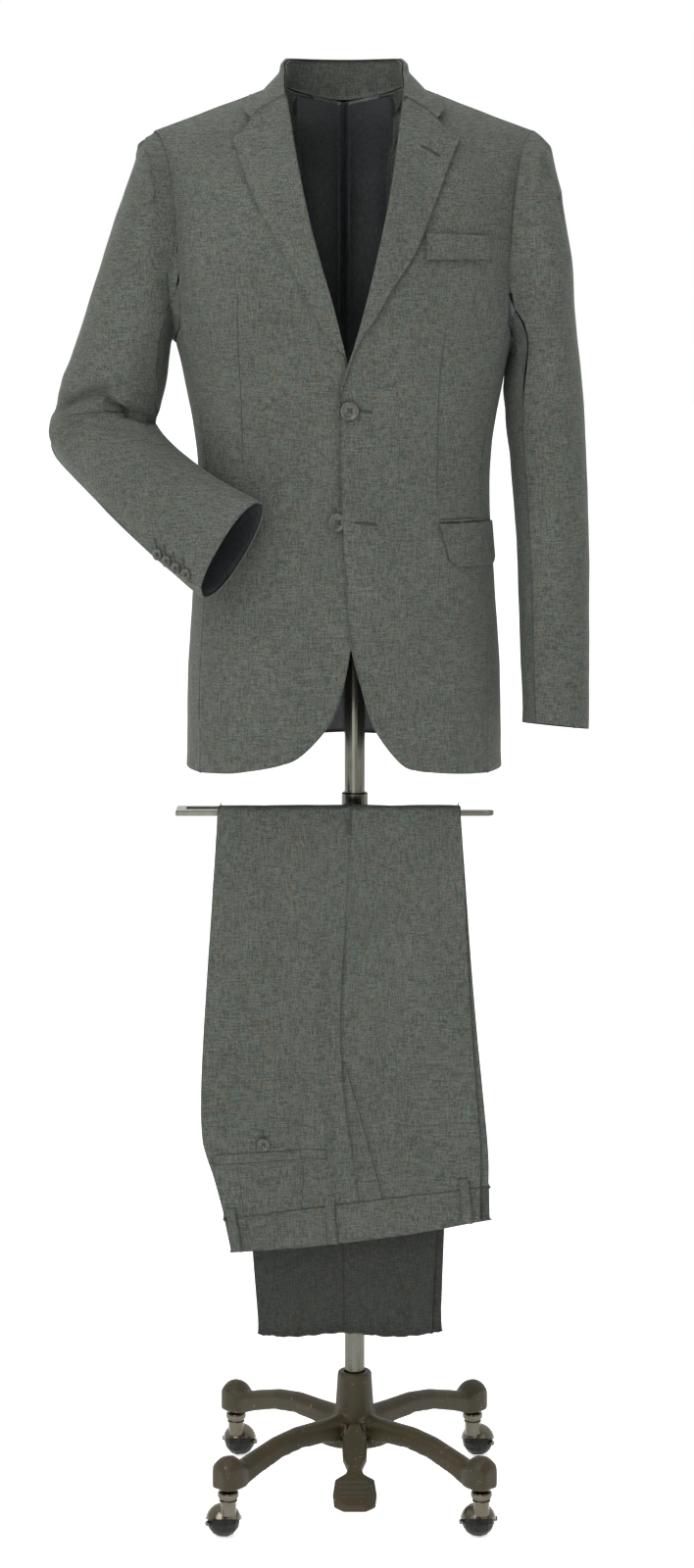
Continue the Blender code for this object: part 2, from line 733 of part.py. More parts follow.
def add_collar(cloth):
    """The collar's stand on the neckline, and its leaf folded over it onto the shoulders."""
    columns = 2 * COLLAR_HALF_COLUMNS
    lift = CLOTH + COLLAR_LIFT
    ridge_angle = math.degrees(math.asin((COLLAR_EDGE_RIDGE / RIDGE_WIDTH) ** (SQUARENESS / 2)))
    edge = [relative(on_body(angle, height, lift)) for angle, height in COLLAR_EDGE_BACK]
    edge[0] = (0.0, *edge[0][1:])
    edge.append(relative(on_body(ridge_angle, YOKE_TOP, lift)))
    corner_angle, corner_height = front_spot(CENTRE_X + COLLAR_CORNER[0], COLLAR_CORNER[1])
    middle = (ridge_angle + corner_angle) / 2, (YOKE_TOP + corner_height) / 2
    edge.append(relative(on_body(*middle, lift)))
    edge.append(relative(on_body(corner_angle, corner_height, lift)))
    fold = smooth_line(both_sides(COLLAR_FOLD), columns)
    edge = smooth_line(both_sides(edge), columns)
    notch = on_body(*front_spot(CENTRE_X + COLLAR_NOTCH[0], COLLAR_NOTCH[1]), lift)
    share = COLLAR_NOTCH_SHARE
    lower = fold * (1 - share) + edge * share
    for index, sign in ((0, -1), (columns, 1)):
        lower[index] = (CENTRE_X + sign * (notch[0] - CENTRE_X), notch[1], notch[2])
    rows = []
    centre = np.array((CENTRE_X, 0.0, COLLAR_MIDDLE_Z))
    for part in (0.0, 0.33, 0.67, 1.0):
        line = fold * (1 - part) + lower * part
        out = line - centre
        out /= np.linalg.norm(out, axis=1)[:, None]
        rows.append(line + out * COLLAR_ROUND * math.sin(math.pi * min(part * share + 0.02, 1)))
    rows.append(edge)
    inner = np.array(rows)
    outer = np.empty_like(inner)
    for row in range(inner.shape[0]):
        for column in range(columns + 1):
            before, after = max(column - 1, 0), min(column + 1, columns)
            low, high = max(row - 1, 0), min(row + 1, inner.shape[0] - 1)
            down = inner[low, column] - inner[high, column]
            normal = np.cross(down, inner[row, after] - inner[row, before])
            outer[row, column] = inner[row, column] + normal / np.linalg.norm(normal) * LEAF_CLOTH
    shell("collar_leaf", outer, inner, cloth)

    foot = [relative(body_point(180, BACK_NECK))]
    foot.append(relative(body_point(*BACK_NECK_SIDE)))
    foot.append(relative(body_point(NECK_ANGLE, YOKE_TOP)))
    front_end = front_spot(CENTRE_X + STAND_FRONT[0], STAND_FRONT[1])
    foot.append(relative(body_point(*front_end)))
    foot[0] = (0.0, *foot[0][1:])
    low = smooth_line(both_sides([np.array(point) for point in foot]), columns)
    high = smooth_line(both_sides(COLLAR_FOLD[:5]), columns)
    reach = np.linalg.norm(high - low, axis=1)[:, None]
    up = (high - low) / reach
    low = low + up * STAND_FOOT_GAP
    high = high - up * STAND_HEAD_GAP
    along = np.gradient(low, axis=0)
    inward = np.cross(up, along)
    inward /= np.linalg.norm(inward, axis=1)[:, None]
    to_axis = np.array((CENTRE_X, 0.0, 0.0)) - low
    inward *= np.sign((inward * to_axis)[:, :2].sum(axis=1))[:, None]
    stand_outer = np.array([low, high]) + inward * STAND_INSET
    stand_inner = stand_outer + inward * CLOTH
    shell("collar_stand", stand_outer, stand_inner, cloth)


def add_jacket_pockets(cloth):
    """The flaps of the side pockets and the welt of the breast pocket."""
    lift = CLOTH + 2.5 * GAP
    columns, rows = 7, 3
    for side, name in ((1, "left"), (-1, "right")):
        top_a, top_b, low_b, low_a = (np.array(corner, float) for corner in FLAP)
        top = np.linspace(top_a, top_b, columns + 1)
        bottom = np.linspace(low_a, low_b, columns + 1)
        for column, corner in ((0, 1), (columns, -1)):
            bottom[column] += np.array((corner * FLAP_ROUND / 6, FLAP_ROUND * 0.75))
        bottom[1, 1] += FLAP_ROUND * 0.08
        bottom[columns - 1, 1] += FLAP_ROUND * 0.08
        first = np.linspace(bottom[0], top[0], rows + 1)
        last = np.linspace(bottom[-1], top[-1], rows + 1)
        grid = patch(bottom, top, first, last) * np.array((side, 1.0))
        body_shell(f"flap_{name}", grid, lambda point, row, column: lift, FLAP_CLOTH, cloth)
    top_a, top_b, low_b, low_a = (np.array(front_spot(*corner)) for corner in WELT)
    columns, rows = 4, 1
    top = np.linspace(top_a, top_b, columns + 1)
    bottom = np.linspace(low_a, low_b, columns + 1)
    grid = patch(bottom, top, np.array((bottom[0], top[0])), np.array((bottom[-1], top[-1])))
    body_shell("breast_welt", grid, lambda point, row, column: lift, FLAP_CLOTH, cloth)


def button_profile(radius, height):
    return (
        (0, 0),
        (radius * 0.8, 0),
        (radius, height * 0.45),
        (radius * 0.97, height * 0.85),
        (radius * 0.84, height),
        (radius * 0.68, height * 0.78),
        (0, height * 0.72),
    )


def plain_button_profile(radius, height):
    return ((0, 0), (radius * 0.85, 0), (radius, height * 0.6), (radius * 0.8, height), (0, height))


def add_button(name, centre, axis, radius, height, material, steps=16):
    profile = button_profile(radius, height) if steps > 8 else plain_button_profile(radius, height)
    points, faces = turned(profile, steps, axis_place(centre, axis, (1.0, 0.0, 0.1)))
    add_solid(name, points, faces, material)


def add_front_buttons(horn):
    for name, spot, under in (
        ("front_button_fastened", FASTENED_BUTTON, 2 * CLOTH + OVERLAP_GAP + 2.5 * GAP),
        ("front_button_lower", LOWER_BUTTON, CLOTH + 1.5 * GAP),
    ):
        angle, height = front_spot(*spot)
        axis = body_normal(angle, height)
        centre = body_point(angle, height) + axis * under
        add_button(name, centre, axis, FRONT_BUTTON_RADIUS, FRONT_BUTTON_HEIGHT, horn)


class Sleeve:
    """Sections from the armhole to the cuff. Section 0 starts from the body's own edge points."""

    def __init__(self, side, table):
        self.side = side
        self.table = np.array(table, float)
        front = seam_line(ARMHOLE_FRONT, ARMHOLE_ROWS)
        back = seam_line(ARMHOLE_BACK, ARMHOLE_ROWS)
        under = seam_line([front[0], ARMPIT, back[0]], SIDE_COLUMNS)
        top = [*front[1:], *(back[stop] for stop in BACK_CAP_STOPS)]
        self.armhole_top = np.array([self.armhole_point(*spot) for spot in top])
        under = [back[1], *under[::-1], front[1]]
        self.armhole_under = np.array([self.armhole_point(*spot) for spot in under])
        self.middle = np.concatenate([self.armhole_top, self.armhole_under]).mean(axis=0)

    def armhole_point(self, angle, height):
        """A point of the body's edge, moved off it by the seam's gap."""
        point = body_point(angle, height)
        low = max(0.0, (ARMHOLE_FRONT[1][1] - height) / (ARMHOLE_FRONT[1][1] - ARMPIT[1]))
        point[0] = CENTRE_X + self.side * (point[0] - CENTRE_X + ARMHOLE_GAP + UNDERARM_GAP * low)
        return point

    def start(self, points, inset):
        away = self.middle - points
        return points + away / np.linalg.norm(away, axis=1)[:, None] * inset

    def section(self, index, angle, inset=0.0):
        """A point of a section. Angles run from the body side over the front to the outside."""
        angle %= 360
        outer_x, outer_z, inner_x, inner_z, y, depth, _, _, swell = self.table[index - 1]
        outer, inner = np.array((outer_x, y, outer_z)), np.array((inner_x, y, inner_z))
        centre = (outer + inner) / 2
        axis = self.direction(index)
        half = (outer - inner) / 2
        half_length = np.linalg.norm(half)
        front = np.cross(axis, half)
        front /= np.linalg.norm(front)
        if front[1] > 0:
            front = -front
        turn = math.radians(angle)
        power = 2 / 2.15
        reach = -math.copysign(abs(math.cos(turn)) ** power, math.cos(turn))
        forward = math.copysign(abs(math.sin(turn)) ** power, math.sin(turn))
        grow = swell * (0.4 + 0.6 * max(math.sin(turn), 0))
        return (
            centre
            + half / half_length * reach * (half_length + 0.3 * swell - inset)
            + front * forward * (depth + grow - inset)
        )

    def centre(self, index):
        if index == 0:
            return self.middle
        outer_x, outer_z, inner_x, inner_z, y = self.table[index - 1][:5]
        return np.array(((outer_x + inner_x) / 2, y, (outer_z + inner_z) / 2))

    def direction(self, index):
        before = self.centre(max(index - 1, 1))
        after = self.centre(min(index + 1, len(self.table)))
        step = after - before
        return step / np.linalg.norm(step)

    def seams(self, index):
        row = self.table[max(index - 1, 0)]
        return row[7], row[6]

    def top_angles(self, index):
        """Angles of the topsleeve's columns. One column runs down from the shoulder's end."""
        front_seam, back_seam = self.seams(index)
        start, end = front_seam + SEAM_ANGLE, back_seam - SEAM_ANGLE
        columns = CAP_COLUMNS + BACK_CAP_COLUMNS
        even = start + (end - start) * CAP_COLUMNS / columns
        crest = 180 + (even - 180) * min(index / 3, 1)
        before = np.linspace(start, crest, CAP_COLUMNS + 1)
        return np.concatenate([before, np.linspace(crest, end, BACK_CAP_COLUMNS + 1)[1:]])

    def under_angles(self, index):
        front_seam, back_seam = self.seams(index)
        start, end = back_seam - 360 + SEAM_ANGLE, front_seam - SEAM_ANGLE
        return np.linspace(start, end, UNDERSLEEVE_COLUMNS + 1)

    def grid(self, angles, armhole, inset):
        stations = range(1, len(self.table) + 1)
        rows = [[self.section(index, angle, inset) for angle in angles(index)] for index in stations]
        return np.array([self.start(armhole, inset), *rows])


def add_sleeve(sleeve, name, cloth, horn):
    """Topsleeve and undersleeve, and the four buttons beside the back seam."""
    for kind, angles, armhole in (
        ("topsleeve", sleeve.top_angles, sleeve.armhole_top),
        ("undersleeve", sleeve.under_angles, sleeve.armhole_under),
    ):
        outer = sleeve.grid(angles, armhole, 0.0)
        shell(f"{kind}_{name}", outer, sleeve.grid(angles, armhole, CLOTH), cloth)
    end = len(sleeve.table)
    for count in range(4):
        from_hem = CUFF_BUTTONS_FROM_HEM + count * CUFF_BUTTON_STEP
        centre, axis = cuff_spot(sleeve, end, from_hem)
        add_button(
            f"cuff_button_{name}_{count + 1}",
            centre,
            axis,
            CUFF_BUTTON_RADIUS,
            CUFF_BUTTON_HEIGHT,
            horn,
            8,
        )


def cuff_spot(sleeve, end, from_hem):
    """A place on the flat face of the topsleeve's facet near the back seam."""
    length = np.linalg.norm(sleeve.centre(end) - sleeve.centre(end - 1))
    index = end if from_hem < length else end - 1
    if from_hem >= length:
        from_hem -= length
        length = np.linalg.norm(sleeve.centre(end - 1) - sleeve.centre(end - 2))
    share = from_hem / length
    corners = []
    for station in (index, index - 1):
        angles = sleeve.top_angles(station)
        corners.append((sleeve.section(station, angles[-1]), sleeve.section(station, angles[-2])))
    (a, b), (c, d) = corners
    middle = 0.42
    low, high = a + (b - a) * middle, c + (d - c) * middle
    point = low + (high - low) * share
    axis = np.cross(b - a, high - low)
    axis /= np.linalg.norm(axis)
    if np.dot(axis, point - sleeve.centre(index)) < 0:
        axis = -axis
    return point + axis * CUFF_BUTTON_SEAT, axis


def rail_path(along):
    """Place and outward direction, in y and z, on the rail's surface.

    along is 0 on the rail's top middle, negative towards the front drop.
    """
    flat = RAIL_HALF_DEPTH - RAIL_ROUND
    arc = 0.5 * math.pi * RAIL_ROUND
    side = -1.0 if along < 0 else 1.0
    distance = abs(along)
    if distance <= flat:
        return (RAIL_Y + along, RAIL_Z + RAIL_HALF_HEIGHT), (0.0, 1.0)
    if distance <= flat + arc:
        turn = (distance - flat) / RAIL_ROUND
        out = (side * math.sin(turn), math.cos(turn))
        middle_z = RAIL_Z + RAIL_HALF_HEIGHT - RAIL_ROUND
        return (
            (RAIL_Y + side * flat + out[0] * RAIL_ROUND, middle_z + out[1] * RAIL_ROUND),
            out,
        )
    drop = distance - flat - arc
    z = RAIL_Z + RAIL_HALF_HEIGHT - RAIL_ROUND - drop
    return (RAIL_Y + side * RAIL_HALF_DEPTH, z), (side, 0.0)


def along_for(z, side):
    """The distance along the rail path for a height on a drop."""
    flat = RAIL_HALF_DEPTH - RAIL_ROUND
    arc = 0.5 * math.pi * RAIL_ROUND
    return side * (flat + arc + RAIL_Z + RAIL_HALF_HEIGHT - RAIL_ROUND - z)


def drop_share(along):
    """0 at the rail, up to 1 at the end of the front or back drop."""
    length = RAIL_Z - (BAND_EDGE[0] if along < 0 else BACK_DROP[-1][0])
    return min(max((abs(along) - DROP_FROM) / length, 0), 1)


def layer_depths(along, cloth=TROUSER_CLOTH):
    """Middle depth of the four layers over the rail: far outer, far inner, near inner, near outer."""
    share = drop_share(along)
    spread = (WAIST_SPREAD if along < 0 else HEM_SPREAD) * share
    pitch = TROUSER_CLOTH + LAYER_GAP
    far_outer = LAYER_GAP + 0.5 * TROUSER_CLOTH
    extra = (cloth - TROUSER_CLOTH) / 2
    far_inner = far_outer + pitch + spread
    near_inner = far_inner + pitch
    near_outer = near_inner + pitch + spread
    return far_outer - extra, far_inner - extra, near_inner + extra, near_outer + extra


def cloth_place(x, along, depth):
    """A point of the trousers at a depth over the rail path, with the soft waves of the drops."""
    (y, z), (out_y, out_z) = rail_path(along)
    share = drop_share(along)
    wave = (WAVE_FRONT if along < 0 else WAVE_BACK) * share
    depth += wave * 0.5 * (1 - math.cos(2 * math.pi * (x + 17) / WAVE_LENGTH))
    return np.array((x, y + out_y * depth, z + out_z * depth))


def trouser_rows():
    """Rows of (along left, x left, along right, x right, x seam, x inner back, x inner front)."""
    rows = []
    for z_left, x_left, z_right, x_right, seam, back, front in FRONT_DROP:
        rows.append((along_for(z_left, -1), x_left, along_for(z_right, -1), x_right, seam, back, front))
    flat = RAIL_HALF_DEPTH - RAIL_ROUND
    arc = 0.5 * math.pi * RAIL_ROUND
    ends = rows[-1]
    after = BACK_DROP[0]
    for along in (-flat - arc / 2, -flat, flat, flat + arc / 2):
        t = (along + flat + arc) / (2 * (flat + arc))
        mixed = [ends[k] * (1 - t) + after[k] * t for k in (1, 3, 4, 5, 6)]
        rows.append((along, mixed[0], along, *mixed[1:]))
    for z_left, x_left, z_right, x_right, seam, back, front in BACK_DROP:
        rows.append((along_for(z_left, 1), x_left, along_for(z_right, 1), x_right, seam, back, front))
    return rows


def hairpin(row, back, near, cloth, sag=0.0, inner_columns=2):
    """Middle line and thickness directions of one panel across a row.

    It runs from the side seam to the crease on the outer layer, turns, and ends on the inner one.
    """
    seam_gap = 0.5 * GAP
    x_left, x_right, seam, inner_back, inner_front = row[1], row[3], row[4], row[5], row[6]
    start = seam - seam_gap if back else seam + seam_gap
    crease = x_left if back else x_right
    inner_end = inner_back if back else inner_front
    toward = -1.0 if back else 1.0
    outer_layer, inner_layer = (3, 2) if near else (0, 1)
    share = (crease - x_left) / (x_right - x_left)
    along = row[0] + (row[2] - row[0]) * share
    pair = layer_depths(along, cloth)
    radius = abs(pair[outer_layer] - pair[inner_layer]) / 2
    shift = 0.0 if near else far_shift(row)
    line = []
    for t in np.linspace(0, 1, OUTER_COLUMNS + 1):
        x = start + (crease - toward * radius - start) * t
        line.append((x, outer_layer, None))
    for step in range(1, TURN_COLUMNS):
        line.append((crease - toward * radius, None, math.pi * step / TURN_COLUMNS))
    for t in np.linspace(0, 1, inner_columns + 1):
        x = crease - toward * radius + (inner_end - (crease - toward * radius)) * t
        line.append((x, inner_layer, None))
    outside = 1.0 if near else -1.0
    outer, inner = [], []
    for x, layer, turn in line:
        share = (x - x_left) / (x_right - x_left)
        here = row[0] + (row[2] - row[0]) * share
        here -= sag * math.sin(math.pi * min(max(share, 0), 1))
        middle = layer_depths(here, cloth)
        if turn is None:
            depth = middle[layer]
            out = outside if layer == outer_layer else -outside
            outer.append(cloth_place(x + shift, here, depth + out * cloth / 2))
            inner.append(cloth_place(x + shift, here, depth - out * cloth / 2))
        else:
            centre = (middle[outer_layer] + middle[inner_layer]) / 2
            for target, reach in ((outer, radius + cloth / 2), (inner, radius - cloth / 2)):
                px = x + toward * math.sin(turn) * reach
                depth = centre + outside * math.cos(turn) * reach
                target.append(cloth_place(px + shift, here, depth))
    return outer, inner


def far_shift(row):
    """The far leg hangs a little to one side of the near one."""
    along = (row[0] + row[2]) / 2
    return (FAR_SHIFT_FRONT if along < 0 else FAR_SHIFT_BACK) * drop_share(along)


def add_trousers(cloth, horn):
    """Four leg panels, two waistbands, belt loops, back pocket welts and their buttons."""
    rows = trouser_rows()
    for near, side in ((True, "left"), (False, "right")):
        for back, kind in ((False, "front"), (True, "back")):
            outer, inner = [], []
            for row in rows:
                outer_line, inner_line = hairpin(row, back, near, TROUSER_CLOTH)
                outer.append(outer_line)
                inner.append(inner_line)
            shell(f"trouser_{kind}_{side}", np.array(outer), np.array(inner), cloth)
        add_waistband(near, side, rows[0], cloth)
        add_trouser_trims(near, side, rows, cloth, horn)


def band_rows(top_row):
    """Rows from the waist's edge to just short of the panels."""
    edge = (
        along_for(BAND_EDGE[0], -1),
        BAND_EDGE[1],
        along_for(BAND_EDGE[2], -1),
        *BAND_EDGE[3:],
    )
    upper = (top_row[0] - GAP, top_row[1], top_row[2] - GAP, *top_row[3:])
    return [
        tuple(a + (b - a) * t for a, b in zip(edge, upper)) for t in np.linspace(0, 1, BAND_ROWS + 1)
    ]


def add_waistband(near, side, top_row, cloth):
    """A band from the middle back, round the outside and in again to the middle front."""
    outer, inner = [], []
    for index, row in enumerate(band_rows(top_row)):
        sag = BAND_SAG * (1 - index / BAND_ROWS)
        front_outer, front_inner = hairpin(row, False, near, BAND_CLOTH, sag, 1)
        back_outer, back_inner = hairpin(row, True, near, BAND_CLOTH, sag, 1)
        outer.append(back_outer[:0:-1] + front_outer[1:])
        inner.append(back_inner[:0:-1] + front_inner[1:])
    shell(f"waistband_{side}", np.array(outer), np.array(inner), cloth)


def trim_shell(name, near, rows_of_places, lifts, thickness, material):
    """A small wall on a trouser's outer layer. Each row is a list of (x, along)."""
    outer, inner = [], []
    for places, lift in zip(rows_of_places, lifts):
        far, near_depth = layer_depths(places[0][1])[0], layer_depths(places[0][1])[3]
        base = near_depth if near else far
        out = 1.0 if near else -1.0
        raised = TROUSER_CLOTH / 2 + lift
        inner.append([cloth_place(x, along, base + out * raised) for x, along in places])
        outer.append([cloth_place(x, along, base + out * (raised + thickness)) for x, along in places])
    shell(name, np.array(outer), np.array(inner), material)


def add_trouser_trims(near, side, rows, cloth, horn):
    shift = 0.0 if near else FAR_SHIFT_FRONT
    edge = band_rows(rows[0])
    band_lift = BAND_CLOTH - TROUSER_CLOTH + 2.5 * GAP
    for name, x_low, x_high in LOOPS:
        x = (x_low + x_high) / 2
        share = (x - edge[0][1]) / (edge[0][3] - edge[0][1])
        dip = BAND_SAG * math.sin(math.pi * share)
        low = edge[0][0] + (edge[0][2] - edge[0][0]) * share - dip
        high = edge[-1][0] + (edge[-1][2] - edge[-1][0]) * share
        stops = (low + 1.0, low + 6, (low + high) / 2, high - 4, high + LOOP_TAIL)
        shoulder = band_lift + LOOP_SHOULDER
        lifts = (band_lift, shoulder, band_lift + LOOP_BOW, shoulder, LOOP_SEAT)
        places = []
        for along in stops:
            middle = x_low + (x_high - x_low) * (along - stops[0]) / (stops[-1] - stops[0]) + shift
            places.append([(middle - LOOP_HALF_WIDTH, along), (middle + LOOP_HALF_WIDTH, along)])
        trim_shell(f"belt_loop_{name}_{side}", near, places, lifts, LOOP_CLOTH, cloth)
    x_from, x_to, z_low, z_high, rise = BACK_POCKET
    places = []
    for z in (z_low, z_high):
        line = []
        for t in np.linspace(0, 1, 5):
            line.append((x_from + shift + (x_to - x_from) * t, along_for(z + rise * t, -1)))
        places.append(line)
    trim_shell(f"back_pocket_welt_{side}", near, places, (1.2 * GAP, 1.2 * GAP), 1.0, cloth)
    x, z = BACK_POCKET_BUTTON
    along = along_for(z, -1)
    depths = layer_depths(along)
    out = 1.0 if near else -1.0
    base = (depths[3] if near else depths[0]) + out * (TROUSER_CLOTH / 2 + 2.5 * GAP)
    centre = cloth_place(x + shift, along, base)
    add_button(
        f"back_pocket_button_{side}", centre, (0.0, -out, 0.0), BACK_BUTTON_RADIUS, 3.2, horn, 12
    )


def box_points(low, high):
    corners = [
        (x, y, z) for z in (low[2], high[2]) for x, y in (
            (low[0], low[1]), (high[0], low[1]), (high[0], high[1]), (low[0], high[1])
        )
    ]
    faces = [(3, 2, 1, 0), (4, 5, 6, 7), (0, 1, 5, 4), (1, 2, 6, 5), (2, 3, 7, 6), (3, 0, 4, 7)]
    return corners, faces


def ring_profile(inner, outer, low, high):
    return (inner, low), (outer, low), (outer, high), (inner, high)


def turned_ring(name, profile, steps, material, place=None):
    """A closed profile that doesn't meet its axis, turned about it."""
    rings = []
    for step in range(steps):
        turn = 2 * math.pi * step / steps
        ring = [np.array((r * math.cos(turn), r * math.sin(turn), h)) for r, h in profile]
        rings.append([place(point) if place else point for point in ring])
    sides = len(profile)
    points = [point for ring in rings for point in ring]
    faces = []
    for step in range(steps):
        after = (step + 1) % steps
        for side in range(sides):
            beyond = (side + 1) % sides
            faces.append(
                (
                    step * sides + side,
                    after * sides + side,
                    after * sides + beyond,
                    step * sides + beyond,
                )
            )
    return add_solid(name, points, faces, material)


def add_pole_and_rail(chrome):
    profile = ((0, POLE_FOOT), (POLE_RADIUS, POLE_FOOT), (POLE_RADIUS, POLE_TOP), (0, POLE_TOP))
    points, faces = turned(profile, 24)
    add_solid("pole", points, faces, chrome)

    bore = POLE_RADIUS + CLAMP_BORE_GAP
    profile = (
        (bore, CLAMP_LOW),
        (CLAMP_RADIUS - 1, CLAMP_LOW),
        (CLAMP_RADIUS, CLAMP_LOW + 1),
        (CLAMP_RADIUS, CLAMP_HIGH - 1.5),
        (CLAMP_RADIUS - 1.5, CLAMP_HIGH),
        (bore, CLAMP_HIGH),
    )
    clamp = turned_ring("trouser_rail", profile, 24, chrome)
    low, high = RAIL_Z - RAIL_HALF_HEIGHT, RAIL_Z + RAIL_HALF_HEIGHT
    half = RAIL_HALF_DEPTH
    foot_half, foot_y, last_x = RAIL_FOOT
    front = (
        (RAIL_LEFT, RAIL_Y - half),
        (RAIL_RIGHT - half, RAIL_Y - half),
        (RAIL_RIGHT - RAIL_TIP, RAIL_Y - half * 0.6),
        (RAIL_RIGHT, RAIL_Y),
        (RAIL_RIGHT - RAIL_TIP, RAIL_Y + half * 0.6),
        (RAIL_RIGHT - half, RAIL_Y + half),
        (RAIL_LEFT + RAIL_END_WIDTH, RAIL_Y + half),
        (RAIL_LEFT + RAIL_END_WIDTH, RAIL_BACK_Y - RAIL_BACK_HALF),
        (foot_half, RAIL_BACK_Y - RAIL_BACK_HALF),
        (foot_half, foot_y),
        (-foot_half, foot_y),
        (last_x, RAIL_BACK_Y + RAIL_BACK_HALF),
        (RAIL_LEFT, RAIL_BACK_Y + RAIL_BACK_HALF),
    )
    rings = [[(x, y, z) for x, y in front] for z in (low, high)]
    rail = loft("rail_plate", rings, chrome)
    edge = rail.modifiers.new("edge", "BEVEL")
    edge.width = 0.8 * MM
    edge.segments = 1
    join(clamp, rail)


def diagonal_place(sign_x, sign_y):
    """Maps (distance, across, height) to a leg's place."""
    root = math.sqrt(0.5)
    return lambda reach, across, z: (
        (sign_x * reach - sign_y * across) * root,
        (sign_y * reach + sign_x * across) * root,
        z,
    )


def add_base(iron):
    """One casting: hub, four arched legs, the brace ring under them and the pedal's two lugs."""
    points, faces = turned(HUB_PROFILE, 20)
    base = add_solid("base_casting", points, faces, iron)
    for name, sign_x, sign_y, _ in CASTERS:
        place = diagonal_place(sign_x, sign_y)
        rings = []
        for distance, half, low, high in LEG_STATIONS:
            cut = min(half, (high - low) / 2) * 0.45
            outline = (
                (-half, low),
                (half, low),
                (half, high - cut * 1.4),
                (half - cut, high - cut * 0.4),
                (0, high),
                (-half + cut, high - cut * 0.4),
                (-half, high - cut * 1.4),
            )
            rings.append([place(distance, across, z) for across, z in outline])
        join(base, loft(f"leg_{name}", rings, iron))
    brace = turned_ring(
        "brace", ring_profile(BRACE_INNER, BRACE_OUTER, BRACE_LOW, BRACE_HIGH), 24, iron
    )
    join(base, brace)
    pivot_y, pivot_z = PEDAL_PIVOT
    web_from, web_to, half_height, thinner = LUG_WEB
    for name, sign in (("left", 1), ("right", -1)):
        centre = (sign * (LUG_INNER + LUG_OUTER) / 2, pivot_y, pivot_z)
        width = LUG_OUTER - LUG_INNER
        profile = ring_profile(PEDAL_AXLE_RADIUS + GAP, LUG_RADIUS, -width / 2, width / 2)
        lug = turned_ring(
            f"lug_{name}", profile, 16, iron, axis_place(centre, (1, 0, 0), (0.0, 1.0, 0.0))
        )
        join(base, lug)
        web = add_solid(
            f"lug_web_{name}",
            *box_points(
                (centre[0] - width / 2 + thinner, web_from, pivot_z - half_height),
                (centre[0] + width / 2 - thinner, web_to, pivot_z + half_height),
            ),
            iron,
        )
        join(base, web)


def add_pedal(iron):
    rings = []
    for y, z, half, thick in PEDAL_STATIONS:
        outline = (
            (-half, -thick * 0.5),
            (-half * 0.8, -thick),
            (half * 0.8, -thick),
            (half, -thick * 0.5),
            (half, thick * 0.4),
            (half * 0.7, thick),
            (-half * 0.7, thick),
            (-half, thick * 0.4),
        )
        rings.append([(x, y, z + up) for x, up in outline])
    pedal = loft("pedal", rings, iron)
    pivot_y, pivot_z = PEDAL_PIVOT
    profile = (
        (0, -PEDAL_AXLE_HALF),
        (PEDAL_AXLE_RADIUS, -PEDAL_AXLE_HALF),
        (PEDAL_AXLE_RADIUS, PEDAL_AXLE_HALF),
        (0, PEDAL_AXLE_HALF),
    )
    place = axis_place((0, pivot_y, pivot_z), (1, 0, 0), (0.0, 1.0, 0.0))
    points, faces = turned(profile, 12, place)
    join(pedal, add_solid("pedal_axle", points, faces, iron))


def ball_profile(radius, steps):
    turns = np.radians(np.linspace(0, 180, steps + 1))[1:-1]
    return [(0, -radius), *((radius * math.sin(t), -radius * math.cos(t)) for t in turns), (0, radius)]


def add_casters(nickel, rubber):
    for name, sign_x, sign_y, bearing in CASTERS:
        reach = CASTER_REACH * math.sqrt(0.5)
        stem = np.array((sign_x * reach, sign_y * reach, 0.0))
        turn = math.radians(bearing)
        trail = np.array((math.cos(turn), math.sin(turn), 0.0))
        centre = stem + trail * CASTER_TRAIL + np.array((0, 0, BALL_RADIUS))
        inner, outer = BALL_RADIUS + BALL_GAP, BALL_RADIUS + BALL_GAP + HOOD_WALL
        middle = inner + HOOD_WALL / 2

        def on_hood(point):
            """The neck's foot follows the hood's wall."""
            place = point + stem
            if point[2] > CASTER_PROFILE[0][1]:
                return place
            reach = np.linalg.norm(place[:2] - centre[:2])
            low = (middle * 0.55) ** 2
            return np.array((*place[:2], BALL_RADIUS + math.sqrt(max(middle**2 - reach**2, low))))

        points, faces = turned(CASTER_PROFILE, 12, on_hood)
        caster = add_solid(f"caster_neck_{name}", points, faces, nickel)
        tilt = math.radians(HOOD_TILT)
        axis = np.array((0, 0, math.cos(tilt))) + trail * math.sin(tilt) * -1.0
        place = axis_place(centre, axis, trail)
        angles = np.radians(np.linspace(0, HOOD_REACH, 6))
        profile = [(inner * math.sin(a), inner * math.cos(a)) for a in angles]
        profile += [(outer * math.sin(a), outer * math.cos(a)) for a in angles[::-1]]
        points, faces = turned(profile, 16, place)
        hood = add_solid(f"caster_{name}", points, faces, nickel)
        join(hood, caster)
        roll = np.cross((0, 0, 1.0), trail)
        place = axis_place(centre, roll, (0.0, 0.0, 1.0))
        points, faces = turned(ball_profile(BALL_RADIUS, 8), 12, place)
        add_solid(f"ball_{name}", points, faces, rubber)


for existing in list(bpy.data.objects):
    bpy.data.objects.remove(existing, do_unlink=True)

origin = bpy.data.objects.new("suit_origin", None)
origin.location = (ORIGIN_SHIFT[0] * MM, ORIGIN_SHIFT[1] * MM, 0.0)
bpy.context.scene.collection.objects.link(origin)

wool = make_material("grey_green_wool", (0.115, 0.127, 0.112), 0.9)
horn = make_material("dark_horn", (0.09, 0.1, 0.085), 0.35)
chrome = make_material("worn_chrome", (0.55, 0.54, 0.5), 0.25, 1.0)
iron = make_material("brown_cast_iron", (0.045, 0.033, 0.025), 0.55, 0.4)
nickel = make_material("nickel", (0.6, 0.58, 0.54), 0.25, 1.0)
rubber = make_material("black_tread", (0.012, 0.012, 0.012), 0.5)

